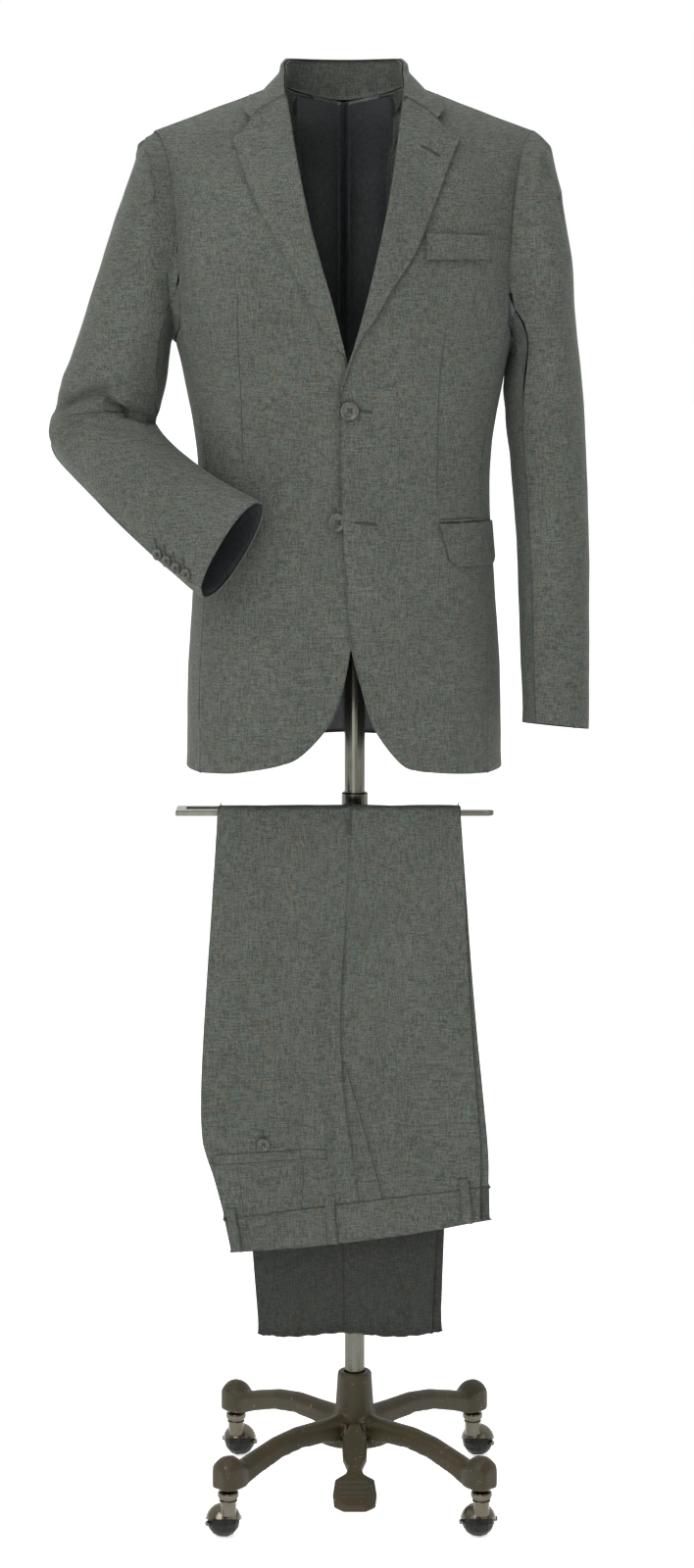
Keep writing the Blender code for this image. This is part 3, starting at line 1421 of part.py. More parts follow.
add_body(wool)
add_lapels(wool)
add_collar(wool)
add_jacket_pockets(wool)
add_front_buttons(horn)
add_sleeve(Sleeve(-1, RIGHT_SLEEVE), "right", wool, horn)
add_sleeve(Sleeve(1, LEFT_SLEEVE), "left", wool, horn)
add_trousers(wool, horn)
add_pole_and_rail(chrome)
add_base(iron)
add_pedal(iron)
add_casters(nickel, rubber)
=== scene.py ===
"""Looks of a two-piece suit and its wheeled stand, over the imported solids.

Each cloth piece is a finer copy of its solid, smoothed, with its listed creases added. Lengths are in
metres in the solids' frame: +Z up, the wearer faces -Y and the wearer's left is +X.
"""

import json
import math

import bmesh
import bpy
import numpy as np
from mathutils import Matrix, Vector
from mathutils.bvhtree import BVHTree
from mathutils.kdtree import KDTree


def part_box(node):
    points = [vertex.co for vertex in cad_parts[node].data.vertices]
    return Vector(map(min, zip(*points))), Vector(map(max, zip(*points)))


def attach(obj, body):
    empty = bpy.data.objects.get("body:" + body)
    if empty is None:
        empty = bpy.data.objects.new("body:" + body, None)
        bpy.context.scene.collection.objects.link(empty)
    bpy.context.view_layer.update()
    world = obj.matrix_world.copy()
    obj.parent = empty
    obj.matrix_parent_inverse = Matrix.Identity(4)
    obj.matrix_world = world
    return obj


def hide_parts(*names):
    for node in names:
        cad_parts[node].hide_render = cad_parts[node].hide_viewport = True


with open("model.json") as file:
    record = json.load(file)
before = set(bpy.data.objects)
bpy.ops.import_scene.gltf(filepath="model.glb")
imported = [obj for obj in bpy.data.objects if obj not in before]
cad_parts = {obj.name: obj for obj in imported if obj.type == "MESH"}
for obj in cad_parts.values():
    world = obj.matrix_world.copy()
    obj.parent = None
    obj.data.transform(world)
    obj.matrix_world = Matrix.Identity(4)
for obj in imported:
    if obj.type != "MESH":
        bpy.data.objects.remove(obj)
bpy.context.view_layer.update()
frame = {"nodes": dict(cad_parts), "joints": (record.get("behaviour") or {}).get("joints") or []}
BODY = "suit_and_stand"
MM = 0.001

# Camera, from the photograph's own perspective
CAMERA_PLACE = (0.032, -4.101, 1.43)
CAMERA_PITCH = 7.9
CAMERA_LENS = 81.7
CAMERA_SENSOR = 36.0

# Stage: the sky's strength in front and behind, between which it changes over a part of its depth, and the
# lights' places, sizes, watts and the heights that they aim at
WORLD_FRONT, WORLD_BACK = 0.15, 1.0
WORLD_TURN = (-0.75, 0.1)
FLOOR_REACH = 40.0
MIDDLE_X = 0.03
LIGHTS = (
    ("key_light", (-2.2, -3.2, 3.4), 3.0, 135.0, 1.0),
    ("fill_light", (2.8, -3.0, 2.2), 3.0, 24.0, 0.9),
    ("top_light", (0.0, -0.6, 3.8), 2.4, 42.0, 0.8),
    ("low_light", (-0.6, -3.4, 0.8), 1.6, 12.0, 0.4),
)

# Cloth: vertices to merge, a sharp edge's angle, the thickest cloth, the least share of the largest wall
# that another wall has, how far an edge is drawn, how near a leg's and a waistband's other half is, and how
# far the edges roll in
WELD = 2e-5
SHARP = math.radians(55)
THICKEST = 4 * MM
LEAST_WALL = 0.03
GORGE_REACH = 12 * MM
LEG_REACH = 14 * MM
BAND_REACH = 60 * MM
EDGE_ROLL = 0.45 * MM
SEAM_GAP = 0.4 * MM

# Trousers: the hems' waves, their overlocked stitches and half the depth of the rail's front bar
HEM_BAND = 6 * MM
HEM_DEPTH = 60 * MM
HEM_SAG = 2.4 * MM
HEM_WAVE = 0.128
HEM_DIP_X = -0.038
STITCH_WAVES = (310, 790)
RAIL_HALF = 7 * MM

# Stand: the hoods' cut, the ends of their axles, their rings, and the pedal's tread
HOOD_LIFT = 0.06
HOOD_SLOPE = 0.36
HOOD_BEVEL = 0.4 * MM
AXLE_RADIUS = 3 * MM
AXLE_PROUD = 3.6 * MM
RING_REACH = 9.9 * MM
RING_HEIGHT = 47 * MM
RING_RADIUS = 0.9 * MM
PEDAL_X = 0.041
TREAD_HALF_WIDTH = 0.019
TREAD_FROM, TREAD_TO = -0.123, -0.162
TREAD_GROOVES = 4
GROOVE_DEPTH = 2.2 * MM

# Buttons: which way each kind looks, half a section as shares of the radius and of the height, and how
# much the cuffs' buttons tip up and are larger than their solids
BUTTON_LOOKS = {
    "back_pocket_button_left": (0, -1.0, 0),
    "back_pocket_button_right": (0, 1.0, 0),
    "cuff_button_right": (-0.4, -0.8, -0.4),
    "cuff_button_left": (0.4, 0.9, 0.0),
    "front_button": (0, -1.0, 0),
}
BUTTON_PROFILE = (
    (0, 0.0), (0.78, 0.0), (0.96, 0.22), (1.0, 0.5), (0.985, 0.78), (0.93, 0.95),
    (0.86, 1.0), (0.78, 0.95), (0.71, 0.78), (0.64, 0.66), (0.5, 0.6), (0, 0.58),
)
BUTTON_STEPS = 40
CUFF_TIP = 0.16
CUFF_GROWTH = 1.2

# Lines on the jacket and the trousers, as (x, z) seen from the front
JACKET_DARTS = {
    "left": ((0.141, 1.385), (0.1345, 1.317), (0.133, 1.199)),
    "right": ((-0.089, 1.426), (-0.09, 1.393), (-0.086, 1.301), (-0.085, 1.241)),
}
BUTTONHOLES = {
    "lapel_hole": ("lapel_left", (0.115, 1.5885), (0.134, 1.5785)),
    "fastened_hole": ("front_left", (0.046, 1.2975), (0.059, 1.2955)),
    "lower_hole": ("front_left", (0.042, 1.173), (0.064, 1.1705)),
}
POCKET_MOUTH = ((0.031, 0.541), (0.049, 0.476), (0.066, 0.414), (0.074, 0.384))
POCKET_TACK = ((0.024, 0.5445), (0.031, 0.5435))
SEAT_DARTS = (
    ((-0.096, 0.424), (-0.0915, 0.395), (-0.087, 0.364)),
    ((-0.019, 0.427), (-0.0195, 0.398), (-0.021, 0.368)),
)
FAR_LEG_SHIFT = 0.011

OUTER, INNER, RIM = 0, 1, 2

# Folds of the cloth, by group of pieces and side (-1 front, 1 back, 0 all round). Each has its half
# width, its height, how much it leans, and its line of (x, z) as seen from the front. All are in mm.
FOLDS = {
    ("sleeve_right", 0): (
        (24, 4, 0, (-226, 1592), (-204, 1617)),
    ),
    ("sleeve_left", 0): (
        (26, 4, 0, (232, 1615), (258, 1578), (272, 1500), (284, 1400)),
        (12, 5.5, 0, (213, 1450), (219, 1380), (222, 1330), (216, 1240)),
        (12, 5, 0, (215, 1430), (219, 1380), (222, 1340), (219, 1290)),
    ),
    ("collar", 0): (
        (15, -7.5, 0, (-50, 1690), (-63, 1668), (-80, 1650)),
        (15, -7.5, 0, (107, 1690), (120, 1668), (137, 1650)),
    ),
    ("sleeve_right", -1): (
        (8, -11, 0.6, (-312, 1289), (-281, 1303), (-252, 1313), (-228, 1313)),
        (9, 4, 0, (-306, 1276), (-279, 1291), (-252, 1299), (-236, 1299)),
        (4, -9, 0.3, (-243, 1309), (-233, 1302), (-222, 1295), (-213, 1290)),
        (2.6, -5, 0.3, (-226, 1298), (-212, 1290), (-198, 1284), (-184, 1277)),
        (8, 6.5, 0, (-227.5, 1312), (-212, 1307), (-196, 1298), (-184, 1287)),
        (9, -5, -0.5, (-300, 1252), (-289, 1270), (-272, 1284),
         (-257, 1287), (-231, 1284), (-196, 1273)),
        (14, 2.2, 0.3, (-300, 1322), (-262, 1330), (-215, 1318)),
        (10, -1.8, 0.6, (-286, 1243), (-255, 1262), (-215, 1268)),
        (14, 1.6, 0.2, (-262, 1215), (-225, 1215), (-176, 1226)),
        (13, -1.5, 0.3, (-232, 1187), (-196, 1187), (-150, 1198)),
        (16, -1.5, 0, (-262, 1420), (-245, 1370), (-215, 1330)),
        (18, 1.3, 0.3, (-222, 1540), (-232, 1470), (-246, 1400)),
    ),
    ("sleeve_right", 1): (
        (9, -3.2, 0.4, (-300, 1300), (-262, 1312), (-200, 1302)),
        (9, 2.4, 0, (-296, 1272), (-262, 1286), (-210, 1283)),
        (10, -1.8, 0.5, (-280, 1243), (-240, 1256), (-200, 1260)),
    ),
    ("sleeve_left", -1): (
        (18, -1.3, 0.3, (243, 1430), (262, 1380), (285, 1350)),
        (16, -1.5, 0.4, (232, 1300), (262, 1285), (298, 1290)),
        (18, 1.4, 0.2, (236, 1245), (266, 1225), (302, 1222)),
        (18, -1.1, 0.2, (240, 1140), (272, 1125), (300, 1130)),
    ),
    ("sleeve_left", 1): (
        (14, -1.8, 0.3, (236, 1310), (266, 1290), (300, 1300)),
        (16, 1.6, 0, (236, 1270), (266, 1250), (300, 1262)),
        (18, -1.2, 0.3, (240, 1200), (270, 1185), (300, 1190)),
    ),
    ("body", -1): (
        (16, -1.6, 0.3, (190, 1400), (165, 1360), (140, 1330)),
        (16, -1.5, -0.3, (-140, 1430), (-120, 1390), (-100, 1360)),
        (16, -1.1, 0.2, (185, 1245), (140, 1262), (85, 1285)),
        (16, -1.2, 0.2, (-130, 1245), (-80, 1265), (-20, 1288)),
        (14, 0.9, 0, (70, 1262), (105, 1225), (150, 1205)),
    ),
    ("body", 1): (
        (18, -2.2, 0.3, (-120, 1255), (-60, 1235), (10, 1240)),
        (18, -2, -0.3, (175, 1262), (120, 1242), (50, 1232)),
        (18, 1.8, 0, (-110, 1215), (-40, 1198), (40, 1205), (120, 1195)),
        (20, -1.6, 0.3, (-100, 1500), (-90, 1430), (-75, 1360)),
        (20, -1.6, -0.3, (160, 1500), (148, 1430), (135, 1360)),
        (22, 1.5, 0.3, (-60, 1100), (-65, 1020), (-68, 930)),
        (22, 1.3, -0.3, (130, 1120), (128, 1030), (126, 930)),
    ),
    ("trouser_near", -1): (
        (10, 5, 0.6, (20, 340), (10, 420), (2, 500), (-2, 600), (4, 720)),
        (12, -2.2, 0.2, (-2, 340), (-12, 420), (-22, 500), (-24, 580), (-20, 660)),
        (24, 1.5, 0.2, (-75, 800), (-82, 700), (-90, 580), (-98, 500)),
        (26, -1.2, 0.2, (60, 820), (68, 700), (74, 560), (78, 440)),
        (20, 1.2, -0.2, (118, 800), (130, 660), (138, 500), (140, 400)),
        (10, -1.6, 0.4, (-25, 372), (-45, 398), (-50, 430)),
    ),
    ("trouser_far", 1): (
        (22, 1.5, 0.2, (30, 220), (34, 340), (30, 500)),
        (22, -1.4, 0.2, (-30, 220), (-34, 360), (-44, 540)),
    ),
}
# Small unevenness: wavelength in metres and height in mm
RIPPLES = ((0.047, 0.35), (0.083, 0.55), (0.142, 0.7))


def smoothstep(value):
    """0 below 0, 1 above 1, and a soft step between."""
    value = np.clip(value, 0, 1)
    return value * value * (3 - 2 * value)


def rounded_line(points, count=24):
    """Points on a smooth curve through the given ones."""
    points = np.array(points, float)
    if len(points) == 2:
        return points[0] + (points[1] - points[0]) * np.linspace(0, 1, count + 1)[:, None]
    ends = np.concatenate([[2 * points[0] - points[1]], points, [2 * points[-1] - points[-2]]])
    steps = max(2, count // (len(points) - 1))
    line = []
    for index in range(len(points) - 1):
        a, b, c, d = ends[index : index + 4]
        for t in np.linspace(0, 1, steps, endpoint=False):
            cubic = (3 * b - a - 3 * c + d) * t**3
            line.append(0.5 * (2 * b + (c - a) * t + (2 * a - 5 * b + 4 * c - d) * t * t + cubic))
    line.append(points[-1])
    return np.array(line)


def fold_heights(spots, line, half_width, height, lean):
    """Heights at (x, z) spots of a fold along a line. lean makes one side of it rise more."""
    line = rounded_line(line)
    best = np.full(len(spots), np.inf)
    side = np.zeros(len(spots))
    along = np.zeros(len(spots))
    for index in range(len(line) - 1):
        start, step = line[index], line[index + 1] - line[index]
        away = spots - start
        t = np.clip((away @ step) / (step @ step), 0, 1)
        miss = away - t[:, None] * step
        distance = np.hypot(miss[:, 0], miss[:, 1])
        closer = distance < best
        best[closer] = distance[closer]
        side[closer] = np.sign(step[0] * away[:, 1] - step[1] * away[:, 0])[closer]
        along[closer] = (index + t[closer]) / (len(line) - 1)
    ends = smoothstep(along / 0.2) * smoothstep((1 - along) / 0.2)
    reach = best / half_width
    bell = np.exp(-(reach**2))
    return height * ends * (bell + lean * side * reach * bell * 1.6)


def cloth_heights(points, normals, groups):
    """How far the cloth stands out at each point: its folds and its small unevenness."""
    total = np.zeros(len(points))
    spots = points[:, [0, 2]]
    for (pieces, facing), folds in FOLDS.items():
        if pieces not in groups:
            continue
        shown = smoothstep((normals[:, 1] * facing + 0.25) / 0.5) if facing else 1.0
        for half_width, height, lean, *line in folds:
            line = np.array(line) * MM
            total += shown * fold_heights(spots, line, half_width * MM, height * MM, lean)
    for index, (length, height) in enumerate(RIPPLES):
        phase = points @ np.array((1.0, 0.6 + 0.3 * index, 0.45 - 0.2 * index)) / length
        cross = points @ np.array((-0.4 + 0.2 * index, 0.5, 1.0)) / (length * 1.7)
        total += height * MM * 0.5 * np.sin(2 * math.pi * phase + index) * np.sin(2 * math.pi * cross)
    return total


def wall_groups(shape):
    """Groups of joined faces with the cloth's other face close behind them, which rim faces haven't."""
    tree = BVHTree.FromBMesh(shape)
    walls = set()
    for face in shape.faces:
        inward = -face.normal
        _, _, _, depth = tree.ray_cast(face.calc_center_median() + inward * 1e-5, inward)
        if depth is not None and depth < THICKEST:
            walls.add(face.index)
    groups = []
    while walls:
        stack = [shape.faces[walls.pop()]]
        group = []
        while stack:
            here = stack.pop()
            group.append(here)
            for edge in here.edges:
                if len(edge.link_faces) != 2 or edge.calc_face_angle() > SHARP:
                    continue
                for other in edge.link_faces:
                    if other.index in walls:
                        walls.remove(other.index)
                        stack.append(other)
        groups.append(group)
    groups.sort(key=lambda group: -sum(face.calc_area() for face in group))
    least = LEAST_WALL * sum(face.calc_area() for face in groups[0])
    return [group for group in groups if sum(face.calc_area() for face in group) > least]


def joined_tree(nodes):
    """One search tree over several nodes, such as the panels round one sleeve."""
    points, faces = [], []
    for node in nodes:
        mesh = frame["nodes"][node].data
        start = len(points)
        points.extend(tuple(vertex.co) for vertex in mesh.vertices)
        faces.extend(tuple(start + corner for corner in face.vertices) for face in mesh.polygons)
    return BVHTree.FromPolygons(points, faces)


def outwardness(group, centre, facing, tube_tree, reach):
    """How much a group of faces looks out: along a direction, out of its tube, or away from the centre."""
    total = 0.0
    for face in group:
        middle = face.calc_center_median()
        if facing is not None:
            look = face.normal.dot(Vector(facing))
        elif tube_tree is not None:
            start = middle + face.normal * 1e-4
            look = 1.0 if tube_tree.ray_cast(start, face.normal, reach)[0] is None else -1.0
        else:
            look = face.normal.dot(middle - centre)
        total += look * face.calc_area()
    return total / sum(face.calc_area() for face in group)


def welded(node):
    """A solid's mesh with its faces joined, to edit."""
    shape = bmesh.new()
    shape.from_mesh(frame["nodes"][node].data)
    bmesh.ops.remove_doubles(shape, verts=shape.verts, dist=WELD)
    return shape


def fine_mesh(node, level, facing, materials, tube_tree, reach):
    """A subdivided copy of a node's mesh, whose material index says outer, inner or rim."""
    shape = welded(node)
    bmesh.ops.join_triangles(
        shape,
        faces=shape.faces,
        angle_face_threshold=math.radians(30),
        angle_shape_threshold=math.radians(80),
    )
    shape.faces.index_update()
    shape.normal_update()
    shape.faces.ensure_lookup_table()
    centre = sum((vertex.co for vertex in shape.verts), Vector()) / len(shape.verts)
    for face in shape.faces:
        face.material_index = RIM
    walls = wall_groups(shape)
    looks = [outwardness(wall, centre, facing, tube_tree, reach) for wall in walls]
    middle = (max(looks) + min(looks)) / 2
    for wall, look in zip(walls, looks):
        for face in wall:
            face.material_index = OUTER if look > middle else INNER
    layer = shape.edges.layers.float.new("crease_edge")
    for edge in shape.edges:
        kinds = {face.material_index for face in edge.link_faces}
        if len(kinds) > 1 or len(edge.link_faces) == 2 and edge.calc_face_angle() > SHARP:
            edge[layer] = 1.0
    coarse = bpy.data.meshes.new(node + "_coarse")
    shape.to_mesh(coarse)
    shape.free()
    for material in materials:
        coarse.materials.append(material)
    holder = placed(node + "_coarse", coarse)
    rounding = holder.modifiers.new("rounding", "SUBSURF")
    rounding.levels = rounding.render_levels = level
    graph = bpy.context.evaluated_depsgraph_get()
    mesh = bpy.data.meshes.new_from_object(holder.evaluated_get(graph))
    bpy.data.objects.remove(holder, do_unlink=True)
    return mesh, vertex_array(coarse)


def placed(name, data):
    """A new object of the scene."""
    made = bpy.data.objects.new(name, data)
    bpy.context.scene.collection.objects.link(made)
    return made


def set_points(mesh, points):
    """Moves a mesh's vertices."""
    mesh.vertices.foreach_set("co", points.ravel())
    mesh.update()


def vertex_array(mesh):
    """The places of a mesh's vertices."""
    points = np.empty(len(mesh.vertices) * 3)
    mesh.vertices.foreach_get("co", points)
    return points.reshape(-1, 3)


def edge_array(mesh):
    """The two vertices of each edge."""
    edges = np.empty(len(mesh.edges) * 2, np.int64)
    mesh.edges.foreach_get("vertices", edges)
    return edges.reshape(-1, 2)


def region_corners(mesh, region):
    """Vertices of a region's faces, and the summed normals of those faces at each vertex."""
    inside = np.zeros(len(mesh.vertices), bool)
    normals = np.zeros((len(mesh.vertices), 3))
    for face in mesh.polygons:
        if face.material_index != region:
            continue
        corners = list(face.vertices)
        inside[corners] = True
        normals[corners] += np.array(face.normal) * face.area
    lengths = np.linalg.norm(normals, axis=1)
    lengths[lengths == 0] = 1
    return inside, normals / lengths[:, None]


def evened(points, edges, free, passes):
    """Moves each free vertex towards the middle of its neighbours, a few times."""
    count = np.zeros(len(points))
    np.add.at(count, edges[:, 0], 1)
    np.add.at(count, edges[:, 1], 1)
    for _ in range(passes):
        total = np.zeros_like(points)
        np.add.at(total, edges[:, 0], points[edges[:, 1]])
        np.add.at(total, edges[:, 1], points[edges[:, 0]])
        middle = total / count[:, None]
        points[free] += 0.5 * (middle[free] - points[free])
    return points


def hem_wave(points):
    """The hems hang in long shallow waves."""
    lowest = points[:, 2].min()
    share = smoothstep((lowest + HEM_DEPTH - points[:, 2]) / HEM_DEPTH)
    wave = np.cos(2 * math.pi * (points[:, 0] - HEM_DIP_X) / HEM_WAVE)
    points[:, 2] -= HEM_SAG * share * wave
    return points


def through_corners(points, edges, coarse, edge_masks, passes=80):
    """Shifts a piece's smoothed edges back so that they run through the solid's own corners."""
    shift = np.zeros_like(points)
    for mask in edge_masks:
        chain = edges[mask[edges[:, 0]] & mask[edges[:, 1]]]
        own = np.zeros_like(points)
        fixed = np.zeros(len(points), bool)
        fixed[: len(coarse)] = mask[: len(coarse)]
        own[fixed] = coarse[fixed[: len(coarse)]] - points[fixed]
        free = mask & ~fixed
        count = np.bincount(chain.ravel(), minlength=len(points)).clip(1)[:, None]
        for _ in range(passes):
            total = np.zeros_like(own)
            np.add.at(total, chain[:, 0], own[chain[:, 1]])
            np.add.at(total, chain[:, 1], own[chain[:, 0]])
            own[free] = (total / count)[free]
        shift[mask] = own[mask]
    return points + shift


def search_tree(points, indices):
    """A tree that finds the nearest of some points."""
    tree = KDTree(len(indices))
    for index in indices:
        tree.insert(points[index], int(index))
    tree.balance()
    return tree


def drawn_to(points, mask, others, reach):
    """Draws a piece's edge up to its neighbours' edges where they are nearly there, as a seam does."""
    targets = np.concatenate([cloth[other]["points"][cloth[other]["edge"]] for other in others])
    tree = search_tree(targets, range(len(targets)))
    for index in np.flatnonzero(mask):
        place, _, distance = tree.find(points[index])
        away = np.array(place) - points[index]
        share = float(smoothstep((reach - distance) / (reach * 0.4)))
        points[index] += away * share * max(0.0, 1 - SEAM_GAP / max(distance, 1e-6))
    return points


cloth = {}


def cloth_piece(
    node, groups=(), level=3, facing=None, passes=8, materials=None, tube_tree=None, reach=0.7, drawn=()
):
    """The finer, creased piece that stands for a cloth node."""
    mesh, coarse = fine_mesh(node, level, facing, materials, tube_tree, reach)
    points = vertex_array(mesh)
    edges = edge_array(mesh)
    outer, _ = region_corners(mesh, OUTER)
    inner, _ = region_corners(mesh, INNER)
    rim, _ = region_corners(mesh, RIM)
    points = through_corners(points, edges, coarse, (outer & rim, inner & rim))
    if drawn:
        points = drawn_to(points, rim, drawn, GORGE_REACH)
    points = evened(points, edges, ~rim, passes)
    if node.startswith("trouser_"):
        points = hem_wave(points)
    set_points(mesh, points)
    outer, normals = region_corners(mesh, OUTER)
    outer_index = np.flatnonzero(outer)
    tree = search_tree(points, outer_index)
    nearest = np.array([i if outer[i] else tree.find(points[i])[1] for i in range(len(points))])
    heights = np.zeros(len(points))
    heights[outer_index] = cloth_heights(points[outer_index], normals[outer_index], groups)
    edge_outer, edge_inner = outer & rim, inner & rim
    moved = points + normals[nearest] * heights[nearest][:, None]
    moved[edge_outer] -= normals[nearest][edge_outer] * EDGE_ROLL
    moved[edge_inner] += normals[nearest][edge_inner] * EDGE_ROLL * 0.6
    set_points(mesh, moved)
    mesh.shade_smooth()
    piece = placed(node + "_cloth", mesh)
    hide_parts(node)
    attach(piece, BODY)
    cloth[node] = {
        "piece": piece,
        "points": moved,
        "normals": normals,
        "edge": np.flatnonzero(edge_outer),
        "edges": edges,
        "tree": BVHTree.FromPolygons(
            [tuple(p) for p in moved],
            [tuple(f.vertices) for f in mesh.polygons if f.material_index == OUTER],
        ),
        "area": sum(f.area for f in mesh.polygons) / 2,
    }


def tube(name, lines, radius, material, body=BODY, cyclic=False, sides=1):
    """One curve object of round bars along lines of points."""
    curve = bpy.data.curves.new(name, "CURVE")
    curve.dimensions = "3D"
    curve.bevel_depth = radius
    curve.bevel_resolution = sides
    curve.use_fill_caps = True
    for line in lines:
        spline = curve.splines.new("POLY")
        spline.points.add(len(line) - 1)
        for target, point in zip(spline.points, line):
            target.co = (*point, 1.0)
        spline.use_cyclic_u = cyclic
        spline.use_smooth = True
    curve.materials.append(material)
    piece = placed(name, curve)
    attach(piece, body)


def chains(indices, edges):
    """Orders vertices that are joined by edges into lines."""
    wanted = set(int(i) for i in indices)
    links = {index: [] for index in wanted}
    for a, b in edges:
        if int(a) in wanted and int(b) in wanted:
            links[int(a)].append(int(b))
            links[int(b)].append(int(a))
    lines, used = [], set()
    starts = sorted(wanted, key=lambda index: len(links[index]))
    for start in starts:
        if start in used or not links[start]:
            continue
        line, here = [start], start
        used.add(start)
        while True:
            options = [index for index in links[here] if index not in used]
            if not options:
                break
            here = options[0]
            used.add(here)
            line.append(here)
        if len(line) > 2:
            lines.append(line)
    return lines


def seam(name, first, second, reach=3.2 * MM, radius=0.75 * MM, sink=0.75 * MM):
    """The thread-dark line in the valley where two pieces' edges meet."""
    a, b = cloth[first], cloth[second]
    tree = search_tree(b["points"], b["edge"])
    places = {}
    for index in a["edge"]:
        found, other, distance = tree.find(a["points"][index])
        if distance is not None and distance < reach:
            normal = a["normals"][index] + b["normals"][other]
            normal /= max(np.linalg.norm(normal), 1e-9)
            places[int(index)] = (a["points"][index] + np.array(found)) / 2 - normal * sink
    lines = [[places[index] for index in line] for line in chains(places, a["edges"])]
    if lines:
        tube(name, lines, radius, THREAD)


def on_cloth(node, x, z, side=-1, lift=0.0):
    """The point of a cloth piece seen at x and z from the front or the back, and its outward normal."""
    start = Vector((x, side * 1.0, z))
    place, normal, _, _ = cloth[node]["tree"].ray_cast(start, Vector((0, -side, 0)))
    if place is None:
        place, normal, _, _ = cloth[node]["tree"].find_nearest(Vector((x, side * 0.12, z)))
    if normal.y * side < 0:
        normal = -normal
    return np.array(place + normal * lift), np.array(normal)


def line_on(node, points, side=-1, lift=0.0, count=24):
    """A smooth line laid on a cloth piece."""
    return [on_cloth(node, x, z, side, lift)[0] for x, z in rounded_line(points, count)]


def node_material(name, colour, roughness, metallic=0.0):
    """A new material, its tree and its shader."""
    material = bpy.data.materials.new(name)
    material.use_nodes = True
    shader = material.node_tree.nodes["Principled BSDF"]
    shader.inputs["Base Color"].default_value = (*colour, 1.0)
    shader.inputs["Roughness"].default_value = roughness
    shader.inputs["Metallic"].default_value = metallic
    return material, material.node_tree, shader


def noise(tree, scale, detail, roughness=0.5):
    """Noise over the object's own coordinates, with a scale for each axis."""
    place = tree.nodes.new("ShaderNodeTexCoord")
    mapping = tree.nodes.new("ShaderNodeMapping")
    mapping.inputs["Scale"].default_value = scale
    tree.links.new(place.outputs["Object"], mapping.inputs["Vector"])
    texture = tree.nodes.new("ShaderNodeTexNoise")
    texture.inputs["Scale"].default_value = 1.0
    texture.inputs["Detail"].default_value = detail
    texture.inputs["Roughness"].default_value = roughness
    tree.links.new(mapping.outputs["Vector"], texture.inputs["Vector"])
    return texture.outputs["Fac"]


def mixed(tree, factor, low, high, blend="MIX"):
    """Mixes two colours, each a constant or a socket."""
    mix = tree.nodes.new("ShaderNodeMix")
    mix.data_type = "RGBA"
    mix.blend_type = blend
    for socket, value in (("Factor", factor), ("A", low), ("B", high)):
        kind = "VALUE" if socket == "Factor" else "RGBA"
        target = next(i for i in mix.inputs if i.name == socket and i.type == kind)
        if isinstance(value, bpy.types.NodeSocket):
            tree.links.new(value, target)
        elif socket == "Factor":
            target.default_value = value
        else:
            target.default_value = (*value, 1.0)
    return next(o for o in mix.outputs if o.type == "RGBA")


def ramp(tree, value, low, high, start=0.0, end=1.0):
    """start where the value is low or less, end where it is high or more, and even between."""
    spread = tree.nodes.new("ShaderNodeMapRange")
    spread.inputs["From Min"].default_value = low
    spread.inputs["From Max"].default_value = high
    spread.inputs["To Min"].default_value = start
    spread.inputs["To Max"].default_value = end
    tree.links.new(value, spread.inputs["Value"])
    return spread.outputs["Result"]


def bumped(tree, shader, height, strength, distance):
    """Raises the surface a little by a height from 0 to 1."""
    bump = tree.nodes.new("ShaderNodeBump")
    bump.inputs["Strength"].default_value = strength
    bump.inputs["Distance"].default_value = distance
    tree.links.new(height, bump.inputs["Height"])
    tree.links.new(bump.outputs["Normal"], shader.inputs["Normal"])


def math_node(tree, operation, first, second):
    """A sum on two values, each a constant or a socket."""
    node = tree.nodes.new("ShaderNodeMath")
    node.operation = operation
    for index, value in enumerate((first, second)):
        if isinstance(value, bpy.types.NodeSocket):
            tree.links.new(value, node.inputs[index])
        else:
            node.inputs[index].default_value = value
    return node.outputs[0]


def wool_material(name, shade=1.0):
    """A fine grey-green worsted: threads up and across, teal and brown flecks, and a soft nap."""
    material, tree, shader = node_material(name, (0.12, 0.13, 0.115), 0.86)
    upright = noise(tree, (900, 900, 90), 1.0)
    across = noise(tree, (90, 90, 900), 1.0)
    threads = math_node(tree, "ADD", upright, across)
    grain = noise(tree, (620, 620, 620), 3.0, 0.7)
    weave = math_node(tree, "ADD", math_node(tree, "MULTIPLY", threads, 0.5), grain)
    value = ramp(tree, weave, 0.86, 1.14)
    # shade darkens every colour of the wool; at 0.4 it gives the painted shade on the legs' rear halves
    dark = tuple(c * shade for c in (0.022, 0.0235, 0.020))
    light = tuple(c * shade for c in (0.098, 0.106, 0.093))
    colour = mixed(tree, value, dark, light)
    fleck = noise(tree, (190, 190, 110), 4.0, 0.6)
    teal = tuple(c * shade for c in (0.040, 0.060, 0.056))
    brown = tuple(c * shade for c in (0.066, 0.060, 0.041))
    hue = mixed(tree, ramp(tree, fleck, 0.4, 0.6), brown, teal)
    colour = mixed(tree, 0.35, colour, hue)
    broad = noise(tree, (14, 14, 9), 3.0, 0.6)
    spread = ramp(tree, broad, 0.25, 0.75)
    tone = mixed(tree, spread, (0.9, 0.9, 0.9), (1.08, 1.08, 1.08))
    colour = mixed(tree, 1.0, colour, tone, "MULTIPLY")
    tree.links.new(colour, shader.inputs["Base Color"])
    shader.inputs["Sheen Weight"].default_value = 0.08
    shader.inputs["Sheen Roughness"].default_value = 0.45
    shader.inputs["Sheen Tint"].default_value = (0.62, 0.68, 0.6, 1.0)
    shader.inputs["Specular IOR Level"].default_value = 0.25
    bumped(tree, shader, weave, 0.5, 0.3 * MM)
    return material


